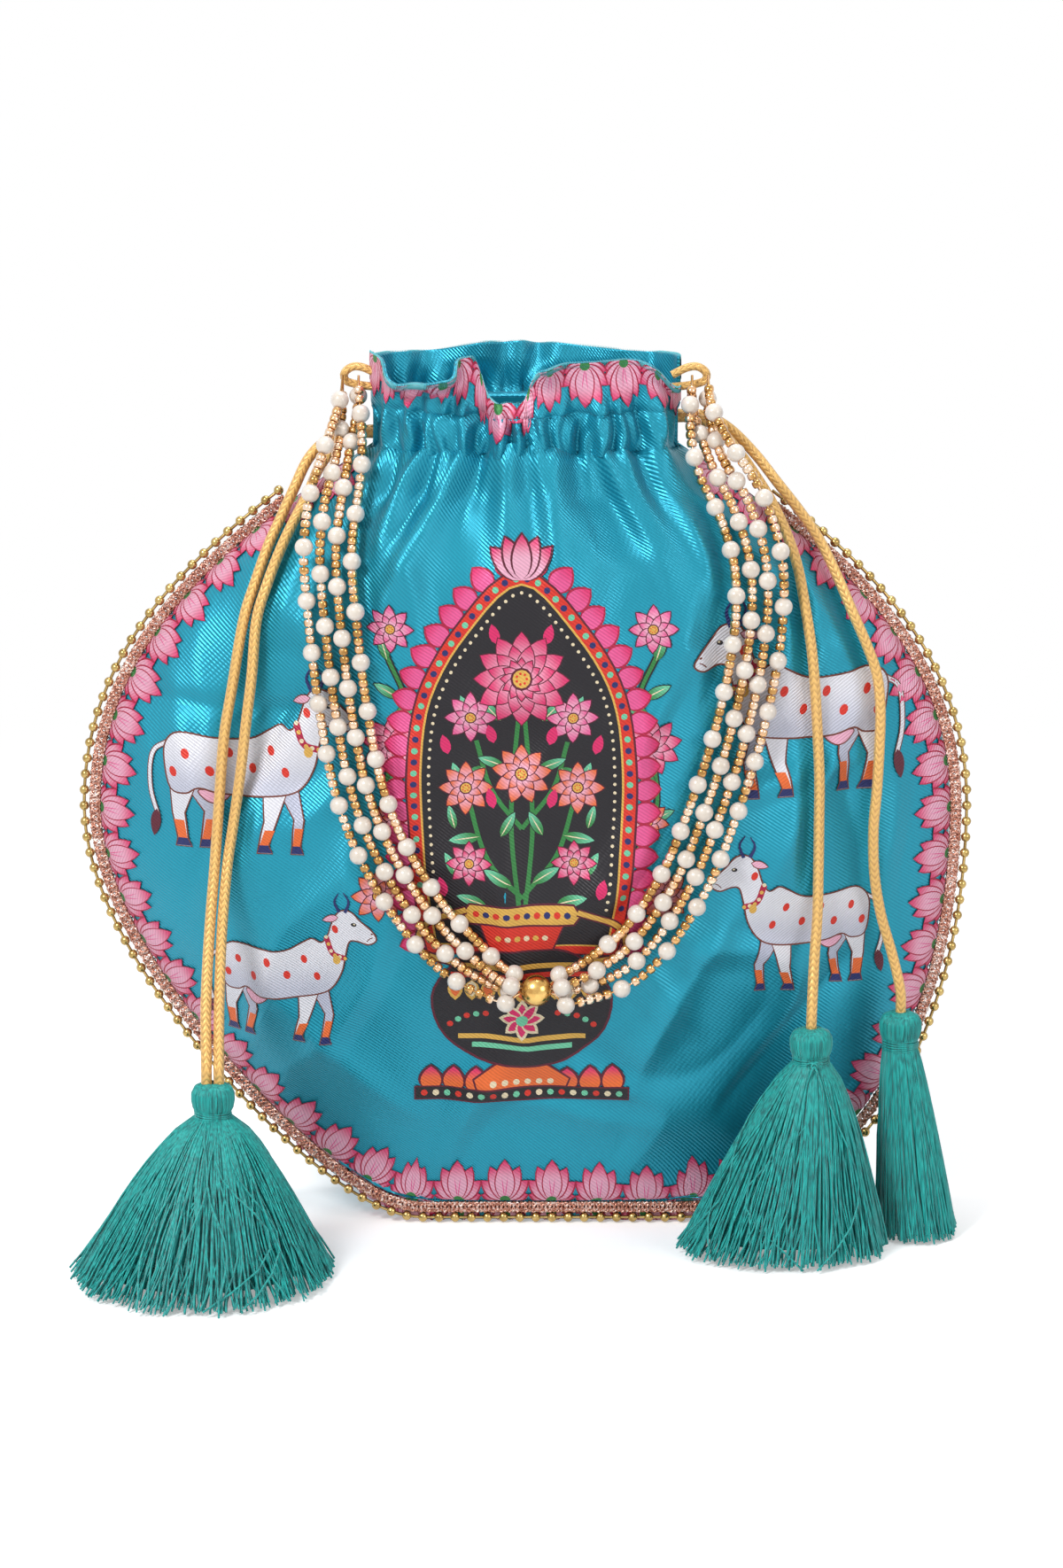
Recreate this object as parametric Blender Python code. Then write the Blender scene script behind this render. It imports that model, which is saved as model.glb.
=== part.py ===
"""Drawstring pouch with a gathered neck, a beaded edge, a pearl handle and three tassels.

Metres, +Z up. The pouch stands on its flat base at z = 0, with its front towards -Y and +X to the right.
Sizes below are in millimetres and are turned into metres where the meshes are made.
"""

import math

import bmesh
import bpy
from mathutils import Vector

MM = 0.001

# Gap that keeps touching pieces apart
GAP = 0.3

# Pouch cloth and the outline of its side seam, seen from the front
CLOTH = 0.8
HALF_WIDTH = 119.0
WIDEST_Z = 118.0
SEAM_HALF_GAP = 0.3
FLAT_LEFT = 30.0
FLAT_RIGHT = 44.0
HIP_PULL_LEFT = (24.0, 46.0)
HIP_PULL_RIGHT = (50.0, 66.0)
SHOULDER_PULL = (37.0, 27.0)
WIDEST_PULL = 50.0

# How far the stuffed panels stand out from the seam, and how the pouch sits
FRONT_BELLY = 33.0
BACK_BELLY = 31.0
SEAM_FORWARD = 14.0
SEAM_UPRIGHT_Z = 70.0
BASE_FOLD_Z = 50.0
BASE_FREE_Z = 100.0
BASE_LIFT_POWER = 1.3
SAG_START, SAG_FULL = 0.1, 0.6

# Neck, drawstring channel and frill
NECK_Z = 222.0
NECK_HALF_WIDTH = 42.0
NECK_HALF_DEPTH = 16.0
NECK_START_Z = 150.0
CHANNEL_HEIGHT = 12.0
SLIT_HALF_GAP = 5.2
FRILL_HEIGHT = 14.0
FRILL_FLARE = 4.0
FRILL_DIP = 10.0
PLEAT_DEPTH = 2.2
PLEAT_REACH = 85.0
FRONT_PLEATS = 9
BACK_PLEATS = 6
RUFFLE_DEPTH = 3.0
ROW_POWER = 1.3

# Edge trim: metallic lace with a chain of small balls outside it
LACE_WIDTH = 2.8
LACE_THICK = 1.5
BALL_RADIUS = 1.4
BALL_LINK_RADIUS = 0.5
BALL_PITCH = 4.6
TRIM_TOP_Z = 205.0
TRIM_FORWARD = 0.8
SEAM_BOTTOM_Z = CLOTH + 2 * GAP + LACE_WIDTH + 2 * BALL_RADIUS

# Drawstrings and the inner band of their channel
CORD_RADIUS = 1.5
CORD_STEP = 8.0
RING_HALF_LENGTH = 37.0
RING_HALF_DEPTH = 10.6
LEFT_RING_RISE = 3.8
RIGHT_RING_RISE = 8.2
CASING_THICK = 0.8
CASING_HALF_LENGTH = 30.0

# Tassels: a folded hank of thread and the binding round its neck
HEAD_RADIUS = 6.0
WAIST_RADIUS = 4.4
HEAD_HEIGHT = 9.0
BINDING_RADIUS = 0.9
HANK_SIDES = 24
SKIRT_RIPPLE = 0.7
TASSEL_LEFT_TOP = (-85.6, -60.0, 55.5)
TASSEL_LEFT_FOOT = (-89.0, -62.0, 0.0)
TASSEL_LEFT_SPREAD = (36.0, 33.0)
TASSEL_INNER_TOP = (79.5, -36.5, 64.0)
TASSEL_INNER_FOOT = (72.0, -40.0, 0.0)
TASSEL_INNER_SPREAD = (29.0, 19.0)
TASSEL_OUTER_TOP = (105.5, -20.5, 64.0)
TASSEL_OUTER_FOOT = (111.0, -24.0, 0.0)
TASSEL_OUTER_SPREAD = (11.0, 12.0)

# Handle: four strands of pearls and small glass beads, joined by one gold ball
PEARL_RADIUS = 2.55
PEARL_SHOULDER = 2.1
SEED_RADIUS = 1.3
THREAD_RADIUS = 0.35
THREAD_SPACING = 1.1
PEARL_PITCH = 14.0
FIRST_PEARL = 0.3
STRAND_PHASES = (0.5, 0.0, 0.75, 0.25)
STRAND_SPACING = 4.4
STRAND_LIFT = 1.2
BUNDLE_LENGTH = 40.0
GOLD_BALL_RADIUS = 4.4
BORE_RADIUS = 1.5
BARE_LENGTH = 8.0
AXIS_Z = NECK_Z + 21.0
AXIS_Y = -2.5
TAB_LENGTH = 9.0

# Height of the neck at which the routes below were measured
MEASURED_NECK_Z = 222.0

# Middle of the handle from its left end to its right one, as (x, y, z)
HANDLE_ROUTE = (
    (-48.2, -2.5, 241.0),
    (-48.6, -8.6, 232.0),
    (-50.5, -16.5, 220.0),
    (-53.0, -22.5, 208.0),
    (-54.0, -27.0, 195.0),
    (-52.7, -28.0, 178.0),
    (-49.9, -31.0, 154.0),
    (-45.5, -34.0, 131.0),
    (-37.4, -36.0, 111.0),
    (-24.0, -37.0, 91.0),
    (-9.0, -37.5, 78.5),
    (3.0, -38.0, 75.5),
    (15.0, -37.5, 77.5),
    (30.0, -37.0, 86.0),
    (43.0, -36.0, 104.5),
    (51.5, -34.0, 125.0),
    (58.5, -30.0, 147.0),
    (63.5, -25.0, 172.0),
    (64.0, -25.0, 192.0),
    (59.5, -21.0, 208.0),
    (52.5, -16.5, 220.5),
    (48.6, -8.6, 232.0),
    (48.2, -2.5, 241.0),
)

# Free ends of the drawstrings, from the tassel's head up to the slit in the neck
LEFT_INNER_END = (
    (-83.9, -60.0, 56.1),
    (-83.9, -59.4, 61.0),
    (-84.2, -49.0, 75.0),
    (-84.0, -35.5, 92.0),
    (-82.8, -27.5, 108.0),
    (-81.0, -25.8, 120.0),
    (-78.9, -25.8, 134.0),
    (-77.2, -25.3, 148.0),
    (-75.4, -24.6, 162.0),
    (-74.0, -22.8, 177.0),
    (-71.0, -21.6, 187.0),
    (-67.4, -17.8, 196.0),
    (-64.2, -14.4, 202.5),
    (-60.3, -9.8, 209.5),
    (-56.5, -5.2, 217.5),
    (-50.5, -2.3, 223.5),
    (-44.0, -2.0, 225.8),
)
LEFT_OUTER_END = (
    (-87.3, -60.0, 56.1),
    (-87.3, -59.4, 61.0),
    (-87.8, -50.0, 75.0),
    (-87.4, -36.0, 92.0),
    (-86.3, -27.5, 108.0),
    (-85.1, -24.6, 124.0),
    (-83.4, -23.8, 144.0),
    (-81.0, -22.9, 158.0),
    (-77.6, -21.8, 177.0),
    (-74.4, -19.4, 187.0),
    (-70.9, -15.0, 196.5),
    (-67.8, -11.0, 203.0),
    (-64.0, -7.0, 211.0),
    (-60.3, -2.4, 218.3),
    (-55.5, 0.8, 223.0),
    (-50.5, 1.8, 225.0),
    (-44.0, 2.1, 225.8),
)
RIGHT_INNER_END = (
    (79.5, -36.5, 64.3),
    (79.7, -35.5, 71.0),
    (80.4, -30.5, 82.0),
    (81.3, -27.0, 94.0),
    (81.5, -25.6, 108.0),
    (81.5, -25.3, 120.0),
    (81.4, -25.0, 134.0),
    (80.6, -24.2, 148.5),
    (79.8, -23.2, 160.5),
    (78.8, -22.0, 170.0),
    (77.2, -19.8, 180.0),
    (75.2, -16.0, 190.5),
    (72.3, -11.6, 199.0),
    (68.6, -7.6, 206.5),
    (64.5, -4.2, 213.0),
    (59.0, -2.2, 220.5),
    (52.0, -1.9, 228.0),
    (44.0, -2.0, 230.2),
)
RIGHT_OUTER_END = (
    (105.5, -20.5, 64.3),
    (105.2, -20.2, 71.0),
    (102.8, -18.6, 81.0),
    (99.6, -18.8, 92.0),
    (97.5, -19.9, 104.0),
    (97.0, -20.2, 117.0),
    (97.8, -19.4, 128.0),
    (98.4, -18.0, 140.0),
    (98.6, -16.2, 151.0),
    (97.6, -14.6, 160.0),
    (94.8, -13.5, 168.0),
    (90.8, -11.8, 177.0),
    (86.6, -8.4, 186.5),
    (81.8, -5.6, 196.0),
    (76.3, -4.4, 204.0),
    (70.0, -4.0, 212.0),
    (63.5, -0.4, 219.8),
    (56.5, 2.0, 226.4),
    (50.0, 2.2, 229.8),
    (44.0, 2.1, 230.2),
)


def clear_scene():
    """Remove whatever the startup file holds."""
    for obj in list(bpy.data.objects):
        bpy.data.objects.remove(obj)


def material(name, colour, roughness, metallic=0.0):
    """A plain Principled BSDF material."""
    made = bpy.data.materials.new(name)
    made.use_nodes = True
    shader = made.node_tree.nodes["Principled BSDF"]
    shader.inputs["Base Color"].default_value = (*colour, 1.0)
    shader.inputs["Roughness"].default_value = roughness
    shader.inputs["Metallic"].default_value = metallic
    return made


def mix(a, b, share):
    return a + (b - a) * share


def smooth(low, high, value):
    """0 below low, 1 above high, and a smooth rise between them."""
    share = min(1.0, max(0.0, (value - low) / (high - low)))
    return share * share * (3 - 2 * share)


def bezier(points, t):
    """A point on a cubic Bezier curve in the plane."""
    s = 1 - t
    weights = (s * s * s, 3 * s * s * t, 3 * s * t * t, t * t * t)
    return tuple(sum(w * p[k] for w, p in zip(weights, points)) for k in range(2))


def seam_curves(side):
    """The hip and the shoulder of one side of the seam, as Bezier points (x, z) from the bottom up."""
    flat = FLAT_LEFT if side < 0 else FLAT_RIGHT
    pull = HIP_PULL_LEFT if side < 0 else HIP_PULL_RIGHT
    hip = (
        (flat, SEAM_BOTTOM_Z),
        (flat + pull[0], SEAM_BOTTOM_Z),
        (HALF_WIDTH, WIDEST_Z - pull[1]),
        (HALF_WIDTH, WIDEST_Z),
    )
    shoulder = (
        (HALF_WIDTH, WIDEST_Z),
        (HALF_WIDTH, WIDEST_Z + WIDEST_PULL),
        (NECK_HALF_WIDTH + SHOULDER_PULL[0], NECK_Z - SHOULDER_PULL[1]),
        (NECK_HALF_WIDTH, NECK_Z),
    )
    return hip, shoulder


def seam_x(side, z):
    """How far the seam lies from the middle at height z, on the left (-1) or the right (1)."""
    if z >= NECK_Z:
        return NECK_HALF_WIDTH
    hip, shoulder = seam_curves(side)
    curve = hip if z < WIDEST_Z else shoulder
    low, high = 0.0, 1.0
    for _ in range(30):
        middle = (low + high) / 2
        if bezier(curve, middle)[1] < z:
            low = middle
        else:
            high = middle
    return bezier(curve, (low + high) / 2)[0]


def seam_z(side, x):
    """Height of the hip's seam at a distance x from the middle."""
    hip = seam_curves(side)[0]
    low, high = 0.0, 1.0
    for _ in range(30):
        middle = (low + high) / 2
        if bezier(hip, middle)[0] < x:
            low = middle
        else:
            high = middle
    return bezier(hip, (low + high) / 2)[1]


def seam_y(z):
    """Depth of the seam: pushed forward at the base, upright above it."""
    low = max(0.0, 1 - (z - SEAM_BOTTOM_Z) / (SEAM_UPRIGHT_Z - SEAM_BOTTOM_Z))
    return -SEAM_FORWARD * low * low


def belly(z, depth):
    """How far a panel's middle stands out from the seam at height z."""
    share = (z - SEAM_BOTTOM_Z) / (NECK_Z - SEAM_BOTTOM_Z)
    if share >= 1:
        return NECK_HALF_DEPTH
    swell = math.sin(math.pi * max(share, 0.0)) ** 0.75
    return depth * swell + NECK_HALF_DEPTH * smooth(0.55, 1.0, share)


def lens(across, z):
    """Shape of a panel's cross-section: 1 in the middle and 0 at both seams."""
    body = max(0.0, 1 - abs(across) ** 2.3) ** 0.72
    neck = max(0.0, 1 - abs(across) ** 2.6) ** 0.5
    return mix(body, neck, smooth(NECK_START_Z, NECK_Z, z))


def pleats(across, count):
    """Irregular folds across a panel, between -1 and 1."""
    main = math.sin(math.pi * count * across + 1.1 * math.sin(2.3 * across + 0.5))
    return 0.75 * main + 0.25 * math.sin(0.61 * math.pi * count * across + 1.7)


def fold_height(across, z, count):
    """How far the gathers push the cloth out at a point."""
    fade = max(0.0, 1 - abs(across) ** 6)
    channel_top = NECK_Z + CHANNEL_HEIGHT
    if z <= channel_top:
        near_neck = smooth(NECK_Z - PLEAT_REACH, NECK_Z, z) ** 2
        return PLEAT_DEPTH * near_neck * fade * pleats(across, count)
    rise = (z - channel_top) / FRILL_HEIGHT
    fine = PLEAT_DEPTH * (1 - 0.6 * rise) * pleats(across, count)
    broad = RUFFLE_DEPTH * rise * math.sin(math.pi * 2.5 * across + 0.7)
    return fade * (fine + broad)


def slit_gap(z):
    """Half the gap between the two panels at the seam: closed, but open where the cords leave."""
    half = CHANNEL_HEIGHT / 2
    closed = smooth(0.6 * half, 1.3 * half, abs(z - NECK_Z - half))
    return mix(SLIT_HALF_GAP, SEAM_HALF_GAP, closed)


def frill_top(across, facing):
    """Height of the frill's free edge along the mouth."""
    top = NECK_Z + CHANNEL_HEIGHT + FRILL_HEIGHT
    if facing > 0:
        return top - 2.0 * math.sin(2.2 * across) ** 2
    notch = math.exp(-(((across + 0.12) / 0.18) ** 2))
    corner = smooth(0.8, 1.0, across)
    lobe = 2.0 * math.exp(-(((across + 0.65) / 0.25) ** 2))
    return top + lobe - FRILL_DIP * max(notch, 0.7 * corner)


def base_height(z):
    """Height that the back panel's lower part sags to: flat on the ground, then rising."""
    if z >= BASE_FREE_Z:
        return z
    rise = max(0.0, (z - BASE_FOLD_Z) / (BASE_FREE_Z - BASE_FOLD_Z))
    return mix(CLOTH, BASE_FREE_Z, rise**BASE_LIFT_POWER)


def panel_point(across, z, facing):
    """A point of the pouch's inner face. facing is -1 for the front panel and 1 for the back one."""
    side = -1 if across < 0 else 1
    depth, count = (FRONT_BELLY, FRONT_PLEATS) if facing < 0 else (BACK_BELLY, BACK_PLEATS)
    section = lens(across, z)
    rise = max(0.0, z - NECK_Z - CHANNEL_HEIGHT) / FRILL_HEIGHT
    out = (belly(z, depth) + FRILL_FLARE * rise) * section + fold_height(across, z, count)
    x = across * seam_x(side, z)
    y = seam_y(z) + facing * max(slit_gap(z), out)
    if facing > 0 and SEAM_BOTTOM_Z < z < BASE_FREE_Z:
        sagged = mix(z, base_height(z), smooth(SAG_START, SAG_FULL, section))
        z = max(sagged, CLOTH, seam_z(side, abs(x)) - SEAM_BOTTOM_Z + CLOTH)
    return x, y, z


def front_y(x, z):
    """Depth of the front panel's outer face at a place seen from the front."""
    side = -1 if x < 0 else 1
    across = max(-1.0, min(1.0, x / seam_x(side, z)))
    return panel_point(across, z, -1)[1] - CLOTH


def new_object(name, data, made_of):
    obj = bpy.data.objects.new(name, data)
    bpy.context.scene.collection.objects.link(obj)
    data.materials.append(made_of)
    return obj


def mesh_object(name, bm, made_of, smooth_angle=50):
    """Turn a bmesh in millimetres into a smooth-shaded object in metres."""
    bmesh.ops.scale(bm, vec=(MM, MM, MM), verts=bm.verts)
    bmesh.ops.recalc_face_normals(bm, faces=bm.faces)
    mesh = bpy.data.meshes.new(name)
    bm.to_mesh(mesh)
    bm.free()
    mesh.shade_smooth()
    mesh.set_sharp_from_angle(angle=math.radians(smooth_angle))
    return new_object(name, mesh, made_of)


def loft(name, rings, made_of, closed=False):
    """A solid through equal rings of points, made by extruding the first ring from each to the next."""
    bm = bmesh.new()
    verts = [bm.verts.new(p) for p in rings[0]]
    edges = [bm.edges.new((verts[i - 1], verts[i])) for i in range(len(verts))]
    first = list(edges)
    for ring in rings[1:]:
        made = bmesh.ops.extrude_edge_only(bm, edges=edges)["geom"]
        fresh = {v for v in made if isinstance(v, bmesh.types.BMVert)}
        following = []
        for vert in verts:
            link = next(e for e in vert.link_edges if e.other_vert(vert) in fresh)
            following.append(link.other_vert(vert))
        for vert, place in zip(following, ring):
            vert.co = place
        edges = [e for e in made if isinstance(e, bmesh.types.BMEdge) and set(e.verts) <= fresh]
        verts = following
    if closed:
        bmesh.ops.bridge_loops(bm, edges=first + edges)
    else:
        bmesh.ops.holes_fill(bm, edges=first, sides=0)
        bmesh.ops.holes_fill(bm, edges=edges, sides=0)
    return mesh_object(name, bm, made_of)


def tube(name, points, radii, made_of, resolution):
    """A round strand through points in millimetres, with one radius for each point."""
    curve = bpy.data.curves.new(name, "CURVE")
    curve.dimensions = "3D"
    curve.bevel_depth = MM
    curve.bevel_resolution = resolution
    curve.use_fill_caps = True
    spline = curve.splines.new("POLY")
    spline.points.add(len(points) - 1)
    for spot, place, radius in zip(spline.points, points, radii):
        spot.co = (*(Vector(place) * MM), 1.0)
        spot.radius = radius
    spline.use_smooth = True
    return new_object(name, curve, made_of)


def to_neck(route, low=0.0):
    """A measured route, with its part above the height low stretched to the neck."""
    stretch = (NECK_Z - low) / (MEASURED_NECK_Z - low)
    return [Vector((x, y, low + (z - low) * stretch)) for x, y, z in route]


def smooth_line(points, per_span=12):
    """A close line of points on the Catmull-Rom curve through the given ones."""
    given = [Vector(p) for p in points]
    padded = [2 * given[0] - given[1], *given, 2 * given[-1] - given[-2]]
    line = []
    for a, b, c, d in zip(padded, padded[1:], padded[2:], padded[3:]):
        for step in range(per_span):
            t = step / per_span
            cubic = (3 * b - a - 3 * c + d) * t**3
            square = (2 * a - 5 * b + 4 * c - d) * t**2
            line.append((2 * b + (c - a) * t + square + cubic) / 2)
    line.append(given[-1])
    return line


def lengths(line):
    """Distance along a line at each of its points."""
    total, found = 0.0, [0.0]
    for a, b in zip(line, line[1:]):
        total += (b - a).length
        found.append(total)
    return found


def at_distance(line, along, distance):
    """The point of a line at a distance along it."""
    for i in range(1, len(line)):
        if along[i] >= distance:
            share = (distance - along[i - 1]) / max(1e-9, along[i] - along[i - 1])
            return line[i - 1].lerp(line[i], max(0.0, share))
    return line[-1].copy()


def evenly(line, step):
    """The line again, with points about one step apart."""
    along = lengths(line)
    count = max(2, round(along[-1] / step))
    return [at_distance(line, along, along[-1] * i / count) for i in range(count + 1)]


def panel(name, facing, columns, made_of):
    """One cloth panel with its share of the neck, the drawstring channel and the frill."""
    body_rows, neck_rows, frill_rows = 14, 3, 3
    rows = body_rows + neck_rows + frill_rows
    channel_top = NECK_Z + CHANNEL_HEIGHT
    bm = bmesh.new()
    bmesh.ops.create_grid(bm, x_segments=columns, y_segments=rows, size=1.0)
    for vert in bm.verts:
        across = mix(vert.co.x, math.sin(vert.co.x * math.pi / 2), 0.35)
        row = round((vert.co.y + 1) / 2 * rows)
        if row <= body_rows:
            z = mix(SEAM_BOTTOM_Z, NECK_Z, (row / body_rows) ** ROW_POWER)
        elif row <= body_rows + neck_rows:
            z = mix(NECK_Z, channel_top, (row - body_rows) / neck_rows)
        else:
            z = mix(channel_top, frill_top(across, facing), (row - body_rows - neck_rows) / frill_rows)
        vert.co = panel_point(across, z, facing)
    panel_object = mesh_object(name, bm, made_of)
    mesh = panel_object.data
    if sum(face.normal.y * face.area for face in mesh.polygons) * facing < 0:
        mesh.flip_normals()
    thicken = panel_object.modifiers.new("cloth_thickness", "SOLIDIFY")
    thicken.thickness = CLOTH * MM
    thicken.offset = 1.0
    return panel_object


def trim_path(outward, step):
    """The seam from the left shoulder round the bottom to the right one, moved outward."""
    line = []
    for side in (-1, 1):
        hip, shoulder = seam_curves(side)
        half = [bezier(curve, i / 24) for curve in (hip, shoulder) for i in range(25)]
        half = [Vector((side * x, 0.0, z)) for x, z in half if z <= TRIM_TOP_Z]
        line += half[::-1] if side < 0 else half
    seam = evenly(line, 2.0)
    moved = []
    for i, place in enumerate(seam):
        along = seam[min(i + 2, len(seam) - 1)] - seam[max(i - 2, 0)]
        out = Vector((along.z, 0.0, -along.x)).normalized()
        moved.append(place + outward * out + Vector((0.0, seam_y(place.z) - TRIM_FORWARD, 0.0)))
    return evenly(moved, step)


def lace(made_of):
    """Flat metallic lace sewn along the seam."""
    inner = trim_path(CLOTH + GAP, 9.0)
    outer = trim_path(CLOTH + GAP + LACE_WIDTH, 1.0)
    along = lengths(outer)
    count = len(inner) - 1
    deep = Vector((0.0, LACE_THICK / 2, 0.0))
    rings = []
    for i, a in enumerate(inner):
        b = at_distance(outer, along, along[-1] * i / count)
        rings.append([a - deep, b - deep, b + deep, a + deep])
    return loft("edge_lace", rings, made_of)


def ball_chain(made_of):
    """Chain of small balls along the outer edge of the lace."""
    line = trim_path(CLOTH + 2 * GAP + LACE_WIDTH + BALL_RADIUS, 1.0)
    along = lengths(line)
    count = 2 * round(along[-1] / BALL_PITCH)
    places = [at_distance(line, along, along[-1] * i / count) for i in range(count + 1)]
    radii = [BALL_LINK_RADIUS if i % 2 else BALL_RADIUS for i in range(count + 1)]
    return tube("edge_ball_chain", places, radii, made_of, 0)


def ring_place(degrees, z, half_length, half_depth):
    """A point of an oval round the inside of the neck."""
    angle = math.radians(degrees)
    return Vector((half_length * math.cos(angle), seam_y(z) + half_depth * math.sin(angle), z))


def casing(made_of):
    """Inner band that holds the drawstrings against the neck."""
    bottom, top = NECK_Z, NECK_Z + CHANNEL_HEIGHT
    outer_depth = RING_HALF_DEPTH - CORD_RADIUS - GAP
    rings = []
    for step in range(36):
        corners = []
        for inset, z in ((0, bottom), (0, top), (CASING_THICK, top), (CASING_THICK, bottom)):
            place = ring_place(10 * step, z, CASING_HALF_LENGTH - inset, outer_depth - inset)
            corners.append(place)
        rings.append(corners)
    return loft("drawstring_casing", rings, made_of, closed=True)


def drawstring(name, side, z, front_end, back_end, made_of):
    """One drawstring: up from its tassel, once round the neck, and back down to its tassel."""
    turn = []
    for i in range(11):
        place = ring_place(-150 + 30 * i, z, RING_HALF_LENGTH, RING_HALF_DEPTH)
        turn.append(Vector((-side * place.x, place.y, place.z)))
    front, back = to_neck(front_end, front_end[0][2]), to_neck(back_end, back_end[0][2])
    route = front + turn + back[::-1]
    line = evenly(smooth_line(route), CORD_STEP)
    return tube(name, line, [CORD_RADIUS] * len(line), made_of, 2)


def oval(centre, radius_x, radius_y, ripple=0.0):
    """A level ring of points round a centre, with alternate points pushed in and out."""
    points = []
    for i in range(HANK_SIDES):
        angle = 2 * math.pi * i / HANK_SIDES
        push = ripple if i % 2 else -ripple
        offset = Vector(((radius_x + push) * math.cos(angle), (radius_y + push) * math.sin(angle), 0.0))
        points.append(Vector(centre) + offset)
    return points


def tassel(name, top, foot, spread, thread, binding):
    """A tassel: its hank of thread, with a round head and a flared skirt, and the binding under the head."""
    top, foot = Vector(top), Vector(foot)
    waist = top - Vector((0.0, 0.0, HEAD_HEIGHT))
    rings = [oval(top, 0.7 * HEAD_RADIUS, 0.7 * HEAD_RADIUS)]
    rings.append(oval(top - Vector((0.0, 0.0, 0.3 * HEAD_HEIGHT)), HEAD_RADIUS, HEAD_RADIUS))
    rings.append(oval(top - Vector((0.0, 0.0, 0.7 * HEAD_HEIGHT)), HEAD_RADIUS, HEAD_RADIUS))
    bound = Vector((0.0, 0.0, BINDING_RADIUS + GAP))
    rings.append(oval(waist + bound, WAIST_RADIUS, WAIST_RADIUS))
    rings.append(oval(waist - bound, WAIST_RADIUS, WAIST_RADIUS))
    for share in (0.15, 0.35, 0.6, 0.85, 1.0):
        flare = share**0.75
        centre = (waist - bound).lerp(foot, share)
        reach = [mix(WAIST_RADIUS, s, flare) for s in spread]
        rings.append(oval(centre, reach[0], reach[1], SKIRT_RIPPLE * share))
    loft(name + "_hank", rings, thread)
    band = WAIST_RADIUS + GAP + BINDING_RADIUS
    wraps = []
    for i in range(16):
        out = Vector((math.cos(math.pi * i / 8), math.sin(math.pi * i / 8), 0.0))
        section = []
        for k in range(6):
            angle = math.pi * k / 3
            rise = Vector((0.0, 0.0, BINDING_RADIUS * math.sin(angle)))
            section.append(waist + out * (band + BINDING_RADIUS * math.cos(angle)) + rise)
        wraps.append(section)
    loft(name + "_binding", wraps, binding, closed=True)


def strand_offset(index, spread):
    """Place of a strand beside the handle's middle: a square bundle at spread 0, a flat row at 1."""
    pair = -1 if index < 2 else 1
    member = 1 if index % 2 else -1
    turn = math.pi / 2 * (1 - spread)
    lateral = pair * mix(0.5, 1.0, spread) + member * 0.5 * math.cos(turn)
    return STRAND_SPACING * lateral, STRAND_SPACING * pair * member * 0.5 * math.sin(turn)


def handle_line():
    """The handle's middle line, the distances along it, and the distance of the gold ball."""
    line = smooth_line(to_neck(HANDLE_ROUTE))
    along = lengths(line)
    lowest = min(range(len(line)), key=lambda i: line[i].z)
    return line, along, along[lowest]


def strand_place(index, distance):
    """A point of one strand at a distance along the handle's middle line."""
    line, along, ball = handle_line()
    centre = at_distance(line, along, distance)
    ahead = at_distance(line, along, min(along[-1], distance + 2.0))
    behind = at_distance(line, along, max(0.0, distance - 2.0))
    tangent = (ahead - behind).normalized()
    outward = Vector((0.0, -1.0, 0.0))
    outward = (outward - outward.dot(tangent) * tangent).normalized()
    beside = tangent.cross(outward)
    from_end = min(distance, along[-1] - distance)
    lateral, depth = strand_offset(index, smooth(0.0, BUNDLE_LENGTH, from_end))
    place = centre + lateral * beside + depth * outward
    if from_end > BUNDLE_LENGTH - PEARL_PITCH:
        place.y = min(place.y, front_y(place.x, place.z) - PEARL_RADIUS - STRAND_LIFT)
    if abs(distance - ball) < BARE_LENGTH - 0.1:
        sideways = THREAD_SPACING / 2 * (-1 if index < 2 else 1)
        upright = THREAD_SPACING / 2 * (1 if index % 2 else -1)
        place = centre + sideways * outward + upright * beside
    return place


def strand(index, made_of):
    """One strand of the handle: pearls with small beads between them, and bare thread at the gold ball."""
    _, along, ball = handle_line()
    rings = [(0.0, SEED_RADIUS), (along[-1], SEED_RADIUS)]
    for sign in (-1, 1):
        rings.append((ball + sign * (BARE_LENGTH + 0.4), SEED_RADIUS))
        rings.append((ball + sign * BARE_LENGTH, THREAD_RADIUS))
        rings.append((ball + sign * (GOLD_BALL_RADIUS + 0.4), THREAD_RADIUS))
    centre = PEARL_PITCH * (FIRST_PEARL + STRAND_PHASES[index])
    while centre < along[-1] - PEARL_SHOULDER:
        if abs(centre - ball) > BARE_LENGTH + 1.2 + PEARL_SHOULDER:
            rings.append((centre - PEARL_SHOULDER, SEED_RADIUS))
            rings.append((centre, PEARL_RADIUS))
            rings.append((centre + PEARL_SHOULDER, SEED_RADIUS))
        centre += PEARL_PITCH
    rings.sort()
    places = [strand_place(index, distance) for distance, _ in rings]
    return tube(f"handle_strand_{index + 1}", places, [radius for _, radius in rings], made_of, 0)


def gold_ball(made_of):
    """The bored gold ball that joins the four strands at the handle's middle."""
    line, along, ball = handle_line()
    centre = at_distance(line, along, ball)
    edge = math.asin(BORE_RADIUS / GOLD_BALL_RADIUS)
    profile = []
    for i in range(9):
        angle = mix(edge, math.pi - edge, i / 8)
        profile.append((GOLD_BALL_RADIUS * math.cos(angle), GOLD_BALL_RADIUS * math.sin(angle)))
    rings = []
    for step in range(16):
        turn = 2 * math.pi * step / 16
        ring = [centre + Vector((x, r * math.cos(turn), r * math.sin(turn))) for x, r in profile]
        rings.append(ring)
    return loft("handle_gold_ball", rings, made_of, closed=True)


def end_tab(name, side, made_of):
    """Short stub of gold cord on the neck's side, round the axis that the handle turns on."""
    start = NECK_HALF_WIDTH + CLOTH + GAP
    points = [(side * (start + TAB_LENGTH * i / 3), AXIS_Y, AXIS_Z) for i in range(4)]
    return tube(name, points, [CORD_RADIUS] * 4, made_of, 2)


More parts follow.
